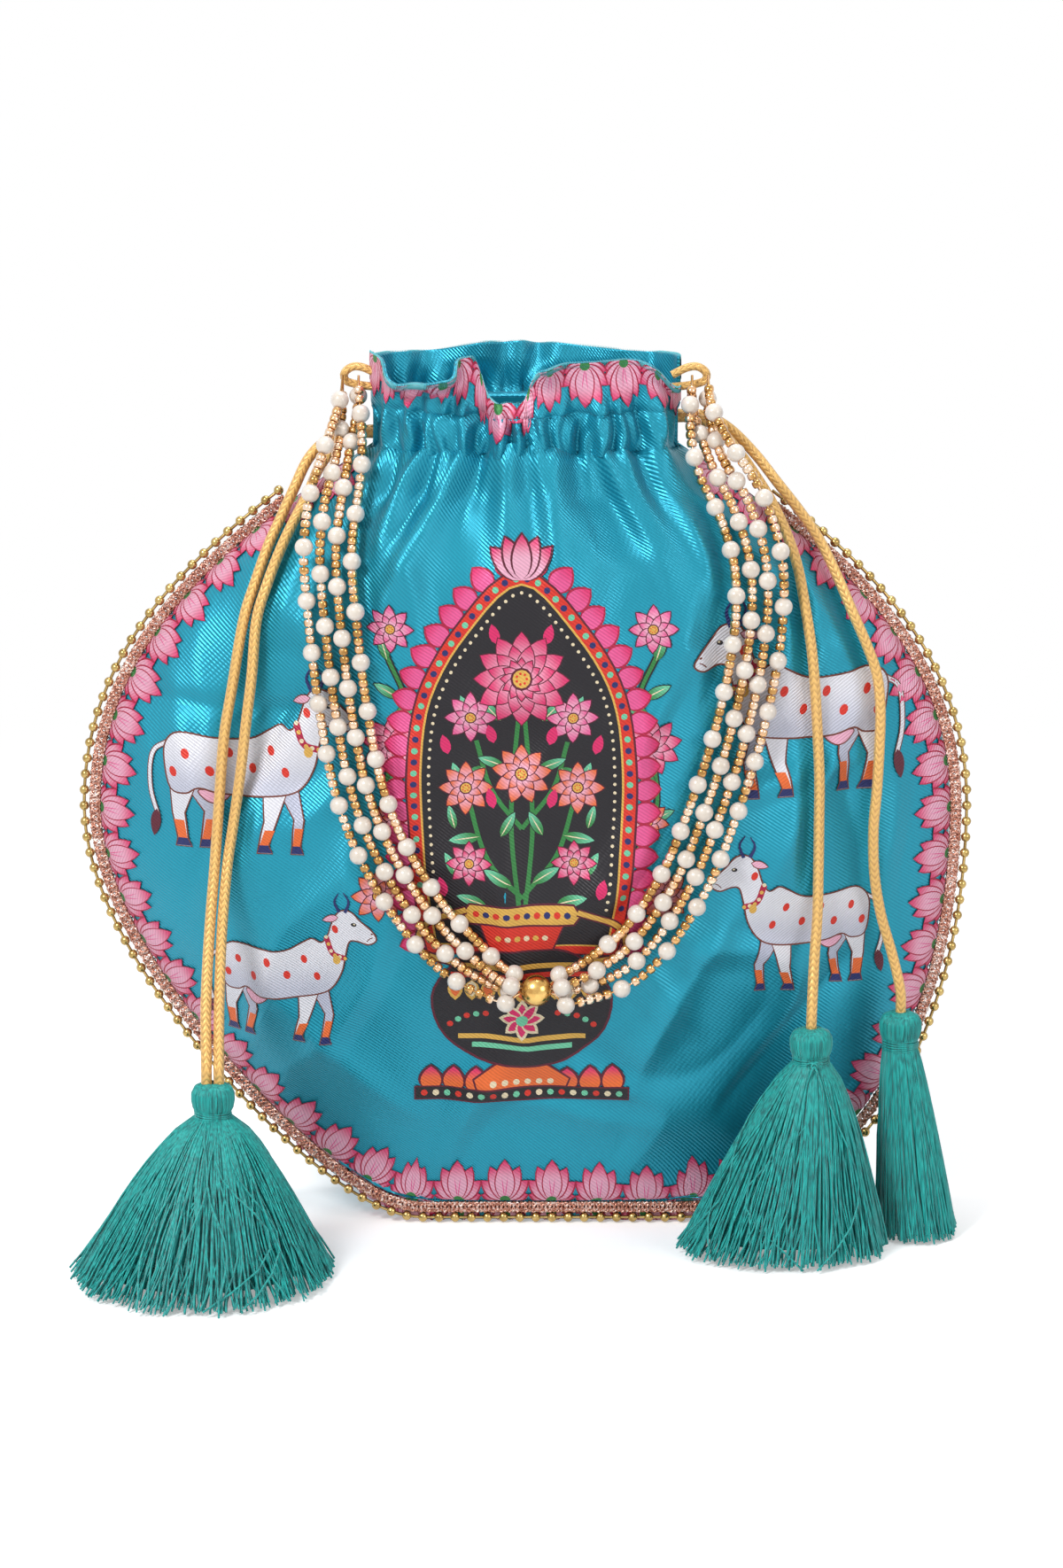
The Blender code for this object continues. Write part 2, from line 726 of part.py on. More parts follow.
def handle_pivot():
    """Empty on the handle's axis, which carries the strands and the gold ball."""
    pivot = bpy.data.objects.new("handle_axis", None)
    bpy.context.scene.collection.objects.link(pivot)
    pivot.location = Vector((0.0, AXIS_Y, AXIS_Z)) * MM
    return pivot


def hang_on(pivot, piece):
    """Parent a piece to the pivot and leave it where it is."""
    piece.parent = pivot
    piece.location = -pivot.location


def main():
    clear_scene()
    satin = material("turquoise_satin", (0.02, 0.42, 0.55), 0.38)
    rose_gold = material("rose_gold_lace", (0.62, 0.36, 0.28), 0.35, 0.7)
    gold = material("gold_plate", (0.72, 0.52, 0.22), 0.2, 1.0)
    cord = material("gold_yellow_cord", (0.72, 0.42, 0.1), 0.55)
    thread = material("teal_thread", (0.01, 0.35, 0.34), 0.6)
    pearl = material("cream_pearl", (0.85, 0.8, 0.74), 0.25)
    panel("front_panel", -1, 32, satin)
    panel("back_panel", 1, 24, satin)
    casing(satin)
    lace(rose_gold)
    ball_chain(gold)
    low, high = NECK_Z + LEFT_RING_RISE, NECK_Z + RIGHT_RING_RISE
    drawstring("drawstring_left", -1, low, LEFT_INNER_END, LEFT_OUTER_END, cord)
    drawstring("drawstring_right", 1, high, RIGHT_INNER_END, RIGHT_OUTER_END, cord)
    left = TASSEL_LEFT_TOP, TASSEL_LEFT_FOOT, TASSEL_LEFT_SPREAD
    inner = TASSEL_INNER_TOP, TASSEL_INNER_FOOT, TASSEL_INNER_SPREAD
    outer = TASSEL_OUTER_TOP, TASSEL_OUTER_FOOT, TASSEL_OUTER_SPREAD
    tassel("tassel_left", *left, thread, thread)
    tassel("tassel_right_inner", *inner, thread, thread)
    tassel("tassel_right_outer", *outer, thread, thread)
    pivot = handle_pivot()
    for index in range(4):
        hang_on(pivot, strand(index, pearl))
    hang_on(pivot, gold_ball(gold))
    end_tab("handle_tab_left", -1, cord)
    end_tab("handle_tab_right", 1, cord)


main()
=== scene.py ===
"""Looks of a gathered satin drawstring pouch with a beaded edge, a pearl handle and three tassels."""

import logging
import math
import random
from bisect import bisect_right
from dataclasses import dataclass, field
from enum import Enum
from functools import lru_cache
from typing import Callable, Iterable, Sequence

import bmesh
import bpy
from mathutils import Matrix, Vector, noise
from mathutils.geometry import delaunay_2d_cdt


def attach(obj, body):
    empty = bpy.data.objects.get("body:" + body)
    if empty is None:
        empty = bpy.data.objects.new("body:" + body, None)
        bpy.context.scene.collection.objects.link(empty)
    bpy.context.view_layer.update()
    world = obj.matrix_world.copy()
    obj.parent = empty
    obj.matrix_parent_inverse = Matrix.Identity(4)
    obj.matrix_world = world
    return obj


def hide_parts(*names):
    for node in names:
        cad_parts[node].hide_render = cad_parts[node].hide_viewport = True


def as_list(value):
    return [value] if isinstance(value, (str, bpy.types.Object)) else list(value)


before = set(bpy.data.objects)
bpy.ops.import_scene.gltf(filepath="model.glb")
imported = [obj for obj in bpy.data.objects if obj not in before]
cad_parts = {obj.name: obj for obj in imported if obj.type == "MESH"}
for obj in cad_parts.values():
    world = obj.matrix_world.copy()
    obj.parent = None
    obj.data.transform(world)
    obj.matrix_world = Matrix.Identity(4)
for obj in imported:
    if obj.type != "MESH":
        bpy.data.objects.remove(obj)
log = logging.getLogger("pouch")

MM = 0.001
Colour = tuple[float, float, float]
Point = tuple[float, float, float]
Outline = list[tuple[float, float]]


class Body(Enum):
    """The two bodies that pieces ride on."""

    BAG = "bag"
    HANDLE = "handle"


class Slot(Enum):
    """Material slots of the record."""

    SATIN = "satin_cloth"
    LACE = "metallic_lace"
    GOLD = "gold_beads"
    CORD = "gold_cord"
    THREAD = "teal_thread"
    PEARL = "pearl_beads"


class Facing(Enum):
    """Which panel of the pouch: the front one or the back one."""

    FRONT = -1
    BACK = 1


def mix(a: float, b: float, share: float) -> float:
    """The value at a share of the way from a to b."""
    return a + (b - a) * share


def smooth(low: float, high: float, value: float) -> float:
    """0 below low, 1 above high, and a smooth rise between them."""
    share = min(1.0, max(0.0, (value - low) / (high - low)))
    return share * share * (3 - 2 * share)


def bezier(points: Sequence[tuple[float, float]], t: float) -> tuple[float, float]:
    """A point on a cubic Bezier curve in the plane."""
    s = 1 - t
    weights = (s * s * s, 3 * s * s * t, 3 * s * t * t, t * t * t)
    return tuple(sum(w * p[k] for w, p in zip(weights, points)) for k in range(2))


def smooth_line(points: Iterable[Point], per_span: int = 12) -> list[Vector]:
    """A close line of points on the Catmull-Rom curve through the given ones."""
    given = [Vector(p) for p in points]
    padded = [2 * given[0] - given[1], *given, 2 * given[-1] - given[-2]]
    line = []
    for a, b, c, d in zip(padded, padded[1:], padded[2:], padded[3:]):
        for step in range(per_span):
            t = step / per_span
            cubic = (3 * b - a - 3 * c + d) * t**3
            square = (2 * a - 5 * b + 4 * c - d) * t**2
            line.append((2 * b + (c - a) * t + square + cubic) / 2)
    line.append(given[-1])
    return line


class Line:
    """A line of points in millimetres that is read by distance."""

    def __init__(self, points: Sequence[Vector]) -> None:
        """Measure the line.

        Args:
            points: its points, in order.
        """
        self.points = list(points)
        self.along = [0.0]
        for a, b in zip(self.points, self.points[1:]):
            self.along.append(self.along[-1] + (b - a).length)
        self.length = self.along[-1]

    def at(self, distance: float) -> Vector:
        """The point at a distance along the line."""
        distance = min(max(distance, 0.0), self.length)
        i = min(max(bisect_right(self.along, distance), 1), len(self.points) - 1)
        span = max(1e-9, self.along[i] - self.along[i - 1])
        return self.points[i - 1].lerp(self.points[i], (distance - self.along[i - 1]) / span)

    def tangent(self, distance: float, reach: float = 1.0) -> Vector:
        """Direction of the line at a distance along it."""
        return (self.at(distance + reach) - self.at(distance - reach)).normalized()

    def evenly(self, step: float) -> "Line":
        """The line again, with points about one step apart."""
        count = max(2, round(self.length / step))
        return Line([self.at(self.length * i / count) for i in range(count + 1)])


class Expr:
    """A number that a material works out, read from one output of its node tree."""

    def __init__(self, shader: "Finish", socket: bpy.types.NodeSocket) -> None:
        """Wrap a socket."""
        self.shader, self.socket = shader, socket

    def math(self, operation: str, *others: "Expr | float") -> "Expr":
        """The result of a Math node on this value and others.

        Args:
            operation: name of the Math node's operation.
            others: its further inputs.

        Returns:
            The node's result.
        """
        values = {i: v for i, v in enumerate((self, *others))}
        node = self.shader.node("ShaderNodeMath", {"operation": operation}, values)
        return Expr(self.shader, node.outputs[0])

    def __add__(self, other: "Expr | float") -> "Expr":
        """Sum."""
        return self.math("ADD", other)

    __radd__ = __add__

    def __sub__(self, other: "Expr | float") -> "Expr":
        """Difference."""
        return self.math("SUBTRACT", other)

    def __rsub__(self, other: float) -> "Expr":
        """Difference from a number."""
        return self.math("MULTIPLY", -1.0).math("ADD", other)

    def __mul__(self, other: "Expr | float") -> "Expr":
        """Product."""
        return self.math("MULTIPLY", other)

    __rmul__ = __mul__

    def __pow__(self, other: float) -> "Expr":
        """Power."""
        return self.math("POWER", other)

    def __abs__(self) -> "Expr":
        """Absolute value."""
        return self.math("ABSOLUTE")

    def sine(self) -> "Expr":
        """Sine, in radians."""
        return self.math("SINE")

    def clamp(self) -> "Expr":
        """The value kept between 0 and 1."""
        return self.math("MINIMUM", 1.0).math("MAXIMUM", 0.0)


class Finish:
    """One material: a Principled shader and the nodes behind it."""

    def __init__(self, name: str, colour: Colour, roughness: float, **sockets: float) -> None:
        """Make the material with its uniform values.

        Args:
            name: the material's name.
            colour: linear base colour.
            roughness: of the whole surface.
            sockets: further sockets of the shader, with _ for a space.
        """
        self.material = bpy.data.materials.new(name)
        self.material.use_nodes = True
        self.material.diffuse_color = (*colour, 1.0)
        self.tree = self.material.node_tree
        self.shader = self.tree.nodes["Principled BSDF"]
        self.set("Base Color", (*colour, 1.0))
        self.set("Roughness", roughness)
        for key, value in sockets.items():
            self.set(key.replace("_", " ").title().replace("Ior", "IOR"), value)

    def set(self, socket: str, value: object) -> None:
        """Set or link one socket of the shader."""
        self.plug(self.shader.inputs[socket], value)

    def plug(self, socket: bpy.types.NodeSocket, value: object) -> None:
        """Link an expression or output to a socket, or set its plain value."""
        source = value.socket if isinstance(value, Expr) else value
        if isinstance(source, bpy.types.NodeSocket):
            self.tree.links.new(source, socket)
        else:
            socket.default_value = source

    def node(self, kind: str, settings: dict | None = None, inputs: dict | None = None) -> bpy.types.Node:
        """Add one node.

        Args:
            kind: the node's type.
            settings: its properties, set first. "stops" gives a ramp's (place, colour) pairs.
            inputs: values or links by the socket's name or number.

        Returns:
            The node.
        """
        node = self.tree.nodes.new(kind)
        for key, value in (settings or {}).items():
            if key == "stops":
                ramp = node.color_ramp.elements
                while len(ramp) < len(value):
                    ramp.new(0.5)
                for stop, (place, colour) in zip(ramp, value):
                    stop.position, stop.color = place, (*colour, 1.0)
            else:
                setattr(node, key, value)
        for key, value in (inputs or {}).items():
            self.plug(node.inputs[key], value)
        return node

    def coordinates(self, uv: str | None = None) -> list[Expr]:
        """The three numbers of Object coordinates, or of a UV map."""
        if uv:
            source = self.node("ShaderNodeUVMap", {"uv_map": uv}).outputs[0]
        else:
            source = self.node("ShaderNodeTexCoord").outputs["Object"]
        split = self.node("ShaderNodeSeparateXYZ", inputs={0: source})
        return [Expr(self, out) for out in split.outputs]

    def vector(self, x: "Expr | float", y: "Expr | float", z: "Expr | float" = 0.0) -> bpy.types.NodeSocket:
        """A vector of three numbers."""
        return self.node("ShaderNodeCombineXYZ", inputs={0: x, 1: y, 2: z}).outputs[0]

    def noise(self, vector: bpy.types.NodeSocket, scale: float, detail: float = 2.0) -> Expr:
        """Smooth noise between 0 and 1."""
        sizes = {"Vector": vector, "Scale": scale, "Detail": detail}
        return Expr(self, self.node("ShaderNodeTexNoise", inputs=sizes).outputs["Fac"])

    def blend(self, share: "Expr | float", a: object, b: object) -> bpy.types.NodeSocket:
        """Two colours mixed by a share of the second."""
        colours = [(*c, 1.0) if isinstance(c, tuple) else c for c in (a, b)]
        sockets = {0: share, 6: colours[0], 7: colours[1]}
        return self.node("ShaderNodeMix", {"data_type": "RGBA"}, sockets).outputs[2]

    def ramp(self, value: Expr, *stops: tuple[float, Colour]) -> bpy.types.NodeSocket:
        """A colour picked along a ramp."""
        return self.node("ShaderNodeValToRGB", {"stops": stops}, {0: value}).outputs[0]

    def bump(self, height: Expr, depth: float, strength: float = 1.0) -> None:
        """Give the surface a relief.

        Args:
            height: relief, between 0 and 1.
            depth: height of the relief in metres.
            strength: share of the bump that shows.
        """
        sizes = {"Height": height, "Distance": depth, "Strength": strength}
        self.set("Normal", self.node("ShaderNodeBump", inputs=sizes).outputs[0])


@dataclass(frozen=True)
class Satin:
    """Shiny twill-weave satin, plain or printed."""

    colour: Colour = (0.012, 0.34, 0.47)
    # deep: a darker tone for random patches and slubs, and painted shade in the grooves of the twill.
    deep: Colour = (0.005, 0.21, 0.31)
    twill_mm: float = 0.85
    printed: bool = False

    def finish(self, name: str) -> Finish:
        """The material, with diagonal ribs on the cloth's own coordinates, and painted shade in the grooves
        between them.
        """
        shine = 0.25 if self.printed else 0.5
        cloth = Finish(name, self.colour, 0.36, metallic=shine, sheen_weight=0.1, sheen_roughness=0.4)
        x, y, _ = cloth.coordinates("weave")
        rib = ((x * 0.57 + y * 0.82) * (math.tau / self.twill_mm)).sine() * 0.5 + 0.5
        cross = ((x * 0.82 - y * 0.57) * (math.tau / (1.7 * self.twill_mm))).sine() * 0.5 + 0.5
        place = cloth.vector(x, y)
        slub = cloth.noise(cloth.vector(x * 0.9, y * 0.12), 1.0, 3.0)
        patch = cloth.noise(place, 0.035, 3.0)
        if self.printed:
            ink = cloth.node("ShaderNodeAttribute", {"attribute_name": "ink"}).outputs["Color"]
            # Ink darkened at random along the slubs, and as painted shade in the grooves of the twill.
            dark = cloth.blend(0.26, ink, (0.0, 0.0, 0.0))
            base = cloth.blend((rib * 0.7 + slub * 0.3).clamp(), dark, ink)
        else:
            # Darker in random patches and slubs, and painted shade in the grooves of the twill.
            base = cloth.blend((rib * 0.45 + patch * 0.4 + slub * 0.15).clamp(), self.deep, self.colour)
        cloth.set("Base Color", base)
        cloth.set("Roughness", slub * 0.16 + patch * 0.12 + (0.34 if self.printed else 0.22))
        cloth.bump(rib * 0.8 + cross * 0.2 + slub * 0.5, 0.0002, 0.6)
        return cloth


@dataclass(frozen=True)
class Braided:
    """Gold-yellow cord of knitted loops, on coordinates along and round the cord."""

    colour: Colour = (0.80, 0.47, 0.13)
    # gap: painted shade, the colour of the low parts between the stitches.
    gap: Colour = (0.36, 0.15, 0.03)
    stitch_mm: float = 1.9
    columns: int = 4

    def finish(self, name: str) -> Finish:
        """The material, with rows of slanted stitches and painted shade between them."""
        cord = Finish(name, self.colour, 0.42, metallic=0.25, sheen_weight=0.25)
        round_, along, _ = cord.coordinates("weave")
        column = round_ * self.columns
        side = abs(column.math("FRACT") - 0.5)
        slant = (along * (1 / self.stitch_mm) + side * 1.4).math("FRACT")
        stitch = (1 - abs(slant * 2 - 1)) ** 0.7
        fibre = cord.noise(cord.vector(along * 0.8, round_ * 60.0), 1.0, 2.0)
        height = (stitch * 0.75 + side * 0.9 + fibre * 0.15).clamp()
        # Painted shade: the tone falls to the gap colour where the stitches' relief is low.
        tone = cord.blend(height ** 0.8, self.gap, self.colour)
        cord.set("Base Color", cord.blend(fibre * 0.35, tone, (0.95, 0.66, 0.27)))
        cord.bump(height, 0.0004, 0.8)
        return cord


@dataclass(frozen=True)
class Thread:
    """Silky teal thread, tinted from strand to strand."""

    colour: Colour = (0.003, 0.31, 0.29)
    dark: Colour = (0.001, 0.14, 0.14)
    light: Colour = (0.012, 0.47, 0.43)

    def finish(self, name: str) -> Finish:
        """The material, with colour that runs along the threads."""
        made = Finish(name, self.colour, 0.5, sheen_weight=0.3, sheen_roughness=0.4)
        x, y, z = made.coordinates()
        strands = made.noise(made.vector(x * 1400, y * 1400, z * 60), 1.0, 1.0)
        shade = made.ramp(strands, (0.25, self.dark), (0.5, self.colour), (0.8, self.light))
        made.set("Base Color", shade)
        fibre = made.noise(made.vector(x * 3000, y * 3000, z * 900), 1.0, 1.0)
        made.bump(fibre, 0.00012, 0.4)
        return made


@dataclass(frozen=True)
class Metal:
    """Plated metal with faint wear."""

    colour: Colour
    worn: Colour
    roughness: float = 0.18
    metallic: float = 1.0

    def finish(self, name: str) -> Finish:
        """The material, with patches of wear."""
        made = Finish(name, self.colour, self.roughness, metallic=self.metallic)
        x, y, z = made.coordinates()
        wear = made.noise(made.vector(x, y, z), 420.0, 3.0)
        made.set("Base Color", made.ramp(wear, (0.35, self.worn), (0.6, self.colour)))
        made.set("Roughness", wear * 0.18 + (self.roughness - 0.06))
        return made


@dataclass(frozen=True)
class Glitter:
    """Metallic yarn of rose gold, with painted silver glints."""

    colour: Colour = (0.50, 0.22, 0.15)
    dark: Colour = (0.20, 0.06, 0.04)
    # Colour of the painted glints.
    painted_glint: Colour = (0.90, 0.78, 0.72)

    def finish(self, name: str) -> Finish:
        """The material, with painted glints a fraction of a millimetre wide."""
        made = Finish(name, self.colour, 0.3, metallic=0.75)
        x, y, z = made.coordinates()
        place = made.vector(x, y, z)
        flake = made.noise(place, 1500.0, 1.0)
        broad = made.noise(place, 260.0, 2.0)
        # Painted glints: tiny spots of near-white base colour, among dark specks and rose gold.
        tone = made.ramp(flake * 0.7 + broad * 0.3, (0.3, self.dark), (0.5, self.colour), (0.68, self.painted_glint))
        made.set("Base Color", tone)
        made.set("Roughness", flake * 0.3 + 0.14)
        made.bump(flake, 0.0003, 0.6)
        return made


@dataclass(frozen=True)
class Pearl:
    """Warm white pearl lustre."""

    def finish(self, name: str) -> Finish:
        """The material, with a coat over slightly clouded cream, and a painted pinkish sheen towards the
        rim.
        """
        made = Finish(name, (0.80, 0.73, 0.65), 0.28, coat_weight=0.7, coat_roughness=0.12, sheen_weight=0.2)
        x, y, z = made.coordinates()
        cloud = made.noise(made.vector(x, y, z), 320.0, 3.0)
        # Painted sheen: pinkish colour mixed in where the surface turns away from the view.
        painted_rim_sheen = Expr(made, made.node("ShaderNodeLayerWeight", inputs={"Blend": 0.35}).outputs["Facing"])
        cream = made.ramp(cloud, (0.3, (0.66, 0.57, 0.47)), (0.7, (0.78, 0.72, 0.64)))
        made.set("Base Color", made.blend(painted_rim_sheen * 0.5, cream, (0.80, 0.74, 0.78)))
        made.bump(cloud, 0.0001, 0.3)
        return made


@dataclass(frozen=True)
class LinedGlass:
    """Clear glass beads with a gold or rose lining."""

    def finish(self, name: str) -> Finish:
        """The material, which shifts between amber, rose and silver from bead to bead."""
        made = Finish(name, (0.62, 0.30, 0.09), 0.14, metallic=0.85, coat_weight=1.0, coat_roughness=0.04)
        x, y, z = made.coordinates()
        bead = made.noise(made.vector(x, y, z), 230.0, 0.0)
        lining = made.ramp(
            bead,
            (0.32, (0.42, 0.20, 0.03)),
            (0.45, (0.68, 0.36, 0.10)),
            (0.55, (0.78, 0.46, 0.24)),
            (0.68, (0.86, 0.66, 0.48)),
        )
        made.set("Base Color", lining)
        return made


def new_object(name: str, data: bpy.types.ID, finishes: Sequence[Finish]) -> bpy.types.Object:
    """Link an object with its materials into the scene."""
    obj = bpy.data.objects.new(name, data)
    bpy.context.scene.collection.objects.link(obj)
    for finish in finishes:
        data.materials.append(finish.material)
    return obj


def mesh_object(
    name: str, bm: bmesh.types.BMesh, finishes: Sequence[Finish], sharp: float = 60.0
) -> bpy.types.Object:
    """Turn a bmesh in millimetres into a smooth-shaded object in metres.

    Args:
        name: of the piece.
        bm: the bmesh, which is freed.
        finishes: its materials in the order of their face indices.
        sharp: edges sharper than this many degrees stay sharp.

    Returns:
        The object, at the origin.
    """
    bmesh.ops.scale(bm, vec=(MM, MM, MM), verts=bm.verts)
    mesh = bpy.data.meshes.new(name)
    bm.to_mesh(mesh)
    bm.free()
    mesh.shade_smooth()
    mesh.set_sharp_from_angle(angle=math.radians(sharp))
    return new_object(name, mesh, finishes)


def ride(piece: bpy.types.Object, body: Body, slot: Slot, *nodes: str) -> bpy.types.Object:
    """Mount a piece on a body, and hide the CAD nodes that it stands for."""
    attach(piece, body.value)
    if nodes:
        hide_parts(*nodes)
    return piece


def yarns(
    name: str, lines: Sequence[Sequence[Vector]], radius: float, finish: Finish, resolution: int = 0
) -> bpy.types.Object:
    """Many thin round threads as one piece.

    Args:
        name: of the piece.
        lines: the points of each thread, in millimetres.
        radius: of a thread, in millimetres.
        finish: its material.
        resolution: the bevel's resolution.

    Returns:
        The mesh object.
    """
    curve = bpy.data.curves.new(name + "_path", "CURVE")
    curve.dimensions = "3D"
    curve.bevel_depth = radius * MM
    curve.bevel_resolution = resolution
    curve.use_fill_caps = True
    for line in lines:
        spline = curve.splines.new("POLY")
        spline.points.add(len(line) - 1)
        for spot, place in zip(spline.points, line):
            spot.co = (*(Vector(place) * MM), 1.0)
        spline.use_smooth = True
    holder = bpy.data.objects.new(name + "_holder", curve)
    bpy.context.scene.collection.objects.link(holder)
    bpy.context.view_layer.update()
    seen = holder.evaluated_get(bpy.context.evaluated_depsgraph_get())
    mesh = bpy.data.meshes.new_from_object(seen)
    mesh.name = name
    bpy.data.objects.remove(holder)
    mesh.materials.clear()
    return new_object(name, mesh, [finish])


def around(radius_x: float, radius_y: float, angle: float, z: float = 0.0) -> Vector:
    """A point of a level oval, at an angle in radians."""
    return Vector((radius_x * math.cos(angle), radius_y * math.sin(angle), z))


def extruded(
    bm: bmesh.types.BMesh, verts: list[bmesh.types.BMVert], edges: list[bmesh.types.BMEdge]
) -> tuple[list[bmesh.types.BMVert], list[bmesh.types.BMEdge]]:
    """Extrude a ring of edges once.

    Args:
        bm: the mesh in work.
        verts: the ring's corners, in order.
        edges: the ring's edges.

    Returns:
        The new ring's corners in the same order, and its edges.
    """
    made = bmesh.ops.extrude_edge_only(bm, edges=edges)["geom"]
    fresh = {v for v in made if isinstance(v, bmesh.types.BMVert)}
    verts = [next(e for e in v.link_edges if e.other_vert(v) in fresh).other_vert(v) for v in verts]
    return verts, [e for e in made if isinstance(e, bmesh.types.BMEdge) and set(e.verts) <= fresh]


def sweep(
    name: str, line: Line, radius: float, finish: Finish, step: float = 1.0, sides: int = 12
) -> bpy.types.Object:
    """A cord's round tube, with coordinates round and along it in a UV map named weave.

    Args:
        name: of the piece.
        line: its centreline, in millimetres.
        radius: of the cord.
        finish: its material.
        step: distance between rings.
        sides: of each ring.

    Returns:
        The mesh object.
    """
    bm = bmesh.new()
    uv = bm.loops.layers.uv.new("weave")
    far = bm.verts.layers.float_vector.new("place")
    count = max(2, round(line.length / step))
    side = Vector((1.0, 0.0, 0.0))
    edges: list[bmesh.types.BMEdge] = []
    verts: list[bmesh.types.BMVert] = []
    for ring in range(count + 1):
        distance = line.length * ring / count
        centre, ahead = line.at(distance), line.tangent(distance)
        side = (side - side.dot(ahead) * ahead).normalized()
        up = ahead.cross(side)
        if ring == 0:
            made = bmesh.ops.create_circle(bm, segments=sides, radius=1.0)["verts"]
            verts = list(made)
            edges = list(bm.edges)
        else:
            verts, edges = extruded(bm, verts, edges)
        for i, vert in enumerate(verts):
            turn = math.tau * i / sides
            vert.co = centre + radius * (math.cos(turn) * side + math.sin(turn) * up)
            vert[far] = (i / sides, distance, 0.0)
    for face in bm.faces:
        shares = [loop.vert[far].x for loop in face.loops]
        wraps = max(shares) - min(shares) > 0.5
        for loop, share in zip(face.loops, shares):
            loop[uv].uv = (share + 1 if wraps and share < 0.5 else share, loop.vert[far].y)
    rims = [e for e in bm.edges if e.is_boundary]
    bmesh.ops.holes_fill(bm, edges=rims, sides=0)
    bmesh.ops.recalc_face_normals(bm, faces=bm.faces)
    return mesh_object(name, bm, [finish])


@dataclass(frozen=True)
class PouchForm:
    """The pouch's sizes in millimetres and the shape of its seam and panels."""

    cloth: float = 0.8
    half_width: float = 119.0
    widest_z: float = 118.0
    seam_half_gap: float = 0.3
    flats: tuple[float, float] = (30.0, 44.0)
    hip_pulls: tuple[tuple[float, float], tuple[float, float]] = ((24.0, 46.0), (50.0, 66.0))
    shoulder_pull: tuple[float, float] = (37.0, 27.0)
    widest_pull: float = 50.0
    bellies: tuple[float, float] = (33.0, 31.0)
    seam_forward: float = 14.0
    seam_upright_z: float = 70.0
    seam_bottom_z: float = 7.0
    base_fold_z: float = 50.0
    base_free_z: float = 100.0
    neck_z: float = 222.0
    neck_half_width: float = 42.0
    neck_half_depth: float = 16.0
    neck_start_z: float = 150.0
    channel: float = 12.0
    slit: float = 5.2
    frill: float = 14.0
    frill_flare: float = 4.0
    frill_dip: float = 10.0
    ruffle: float = 3.0

    @property
    def channel_top(self) -> float:
        """Height of the drawstring channel's upper edge."""
        return self.neck_z + self.channel

    def seam_curves(self, side: int) -> tuple[Outline, Outline]:
        """The hip and the shoulder of one side of the seam, from the bottom up."""
        which = 0 if side < 0 else 1
        flat, pull = self.flats[which], self.hip_pulls[which]
        hip = [
            (flat, self.seam_bottom_z),
            (flat + pull[0], self.seam_bottom_z),
            (self.half_width, self.widest_z - pull[1]),
            (self.half_width, self.widest_z),
        ]
        shoulder = [
            (self.half_width, self.widest_z),
            (self.half_width, self.widest_z + self.widest_pull),
            (self.neck_half_width + self.shoulder_pull[0], self.neck_z - self.shoulder_pull[1]),
            (self.neck_half_width, self.neck_z),
        ]
        return hip, shoulder

    @lru_cache(maxsize=60000)
    def seam_x(self, side: int, z: float) -> float:
        """How far the seam lies from the middle at height z."""
        if z >= self.neck_z:
            return self.neck_half_width
        hip, shoulder = self.seam_curves(side)
        curve = hip if z < self.widest_z else shoulder
        low, high = 0.0, 1.0
        for _ in range(26):
            middle = (low + high) / 2
            if bezier(curve, middle)[1] < z:
                low = middle
            else:
                high = middle
        return bezier(curve, (low + high) / 2)[0]

    @lru_cache(maxsize=60000)
    def seam_z(self, side: int, x: float) -> float:
        """Height of the hip's seam at a distance x from the middle."""
        hip = self.seam_curves(side)[0]
        low, high = 0.0, 1.0
        for _ in range(26):
            middle = (low + high) / 2
            if bezier(hip, middle)[0] < x:
                low = middle
            else:
                high = middle
        return bezier(hip, (low + high) / 2)[1]

    def seam_y(self, z: float) -> float:
        """Depth of the seam: pushed forward at the base, upright above it."""
        low = max(0.0, 1 - (z - self.seam_bottom_z) / (self.seam_upright_z - self.seam_bottom_z))
        return -self.seam_forward * low * low

    def belly(self, z: float, depth: float) -> float:
        """How far a panel's middle stands out from the seam at height z."""
        share = (z - self.seam_bottom_z) / (self.neck_z - self.seam_bottom_z)
        if share >= 1:
            return self.neck_half_depth
        swell = math.sin(math.pi * max(share, 0.0)) ** 0.75
        return depth * swell + self.neck_half_depth * smooth(0.55, 1.0, share)

    def lens(self, across: float, z: float) -> float:
        """Shape of a panel's cross-section: 1 in the middle and 0 at both seams."""
        body = max(0.0, 1 - abs(across) ** 2.3) ** 0.72
        neck = max(0.0, 1 - abs(across) ** 2.6) ** 0.5
        return mix(body, neck, smooth(self.neck_start_z, self.neck_z, z))

    def slit_gap(self, z: float) -> float:
        """Half the gap between the panels: closed, but open where the cords leave."""
        half = self.channel / 2
        closed = smooth(0.6 * half, 1.3 * half, abs(z - self.neck_z - half))
        return mix(self.slit, self.seam_half_gap, closed)

    def base_height(self, z: float) -> float:
        """Height that the back panel's lower part sags to."""
        rise = max(0.0, (z - self.base_fold_z) / (self.base_free_z - self.base_fold_z))
        return mix(self.cloth, self.base_free_z, rise**1.3)

    def frill_top(self, across: float, facing: Facing) -> float:
        """Height of the frill's free edge along the mouth."""
        top = self.channel_top + self.frill
        if facing is Facing.BACK:
            return top - 2.0 * math.sin(2.2 * across) ** 2
        notch = smooth(-0.36, -0.22, across) * (1 - smooth(-0.02, 0.1, across))
        corner = smooth(0.8, 1.0, across)
        lobe = 2.0 * math.exp(-(((across + 0.65) / 0.25) ** 2))
        sag = 2.5 * math.exp(-(((across + 0.78) / 0.12) ** 2))
        return top + lobe - sag - self.frill_dip * max(0.95 * notch, 0.7 * corner)

    def frill_curl(self, across: float, rise: float) -> tuple[float, float]:
        """How far the front frill's left part rolls forward and droops, at a share of its height."""
        left = smooth(-1.0, -0.8, across) * (1 - smooth(-0.52, -0.4, across))
        right = smooth(0.72, 0.95, across)
        roll = smooth(0.3, 1.0, rise)
        return 6.5 * left * roll + 2.5 * right * roll, 4.0 * left * roll**2 + 2.0 * right * roll**2


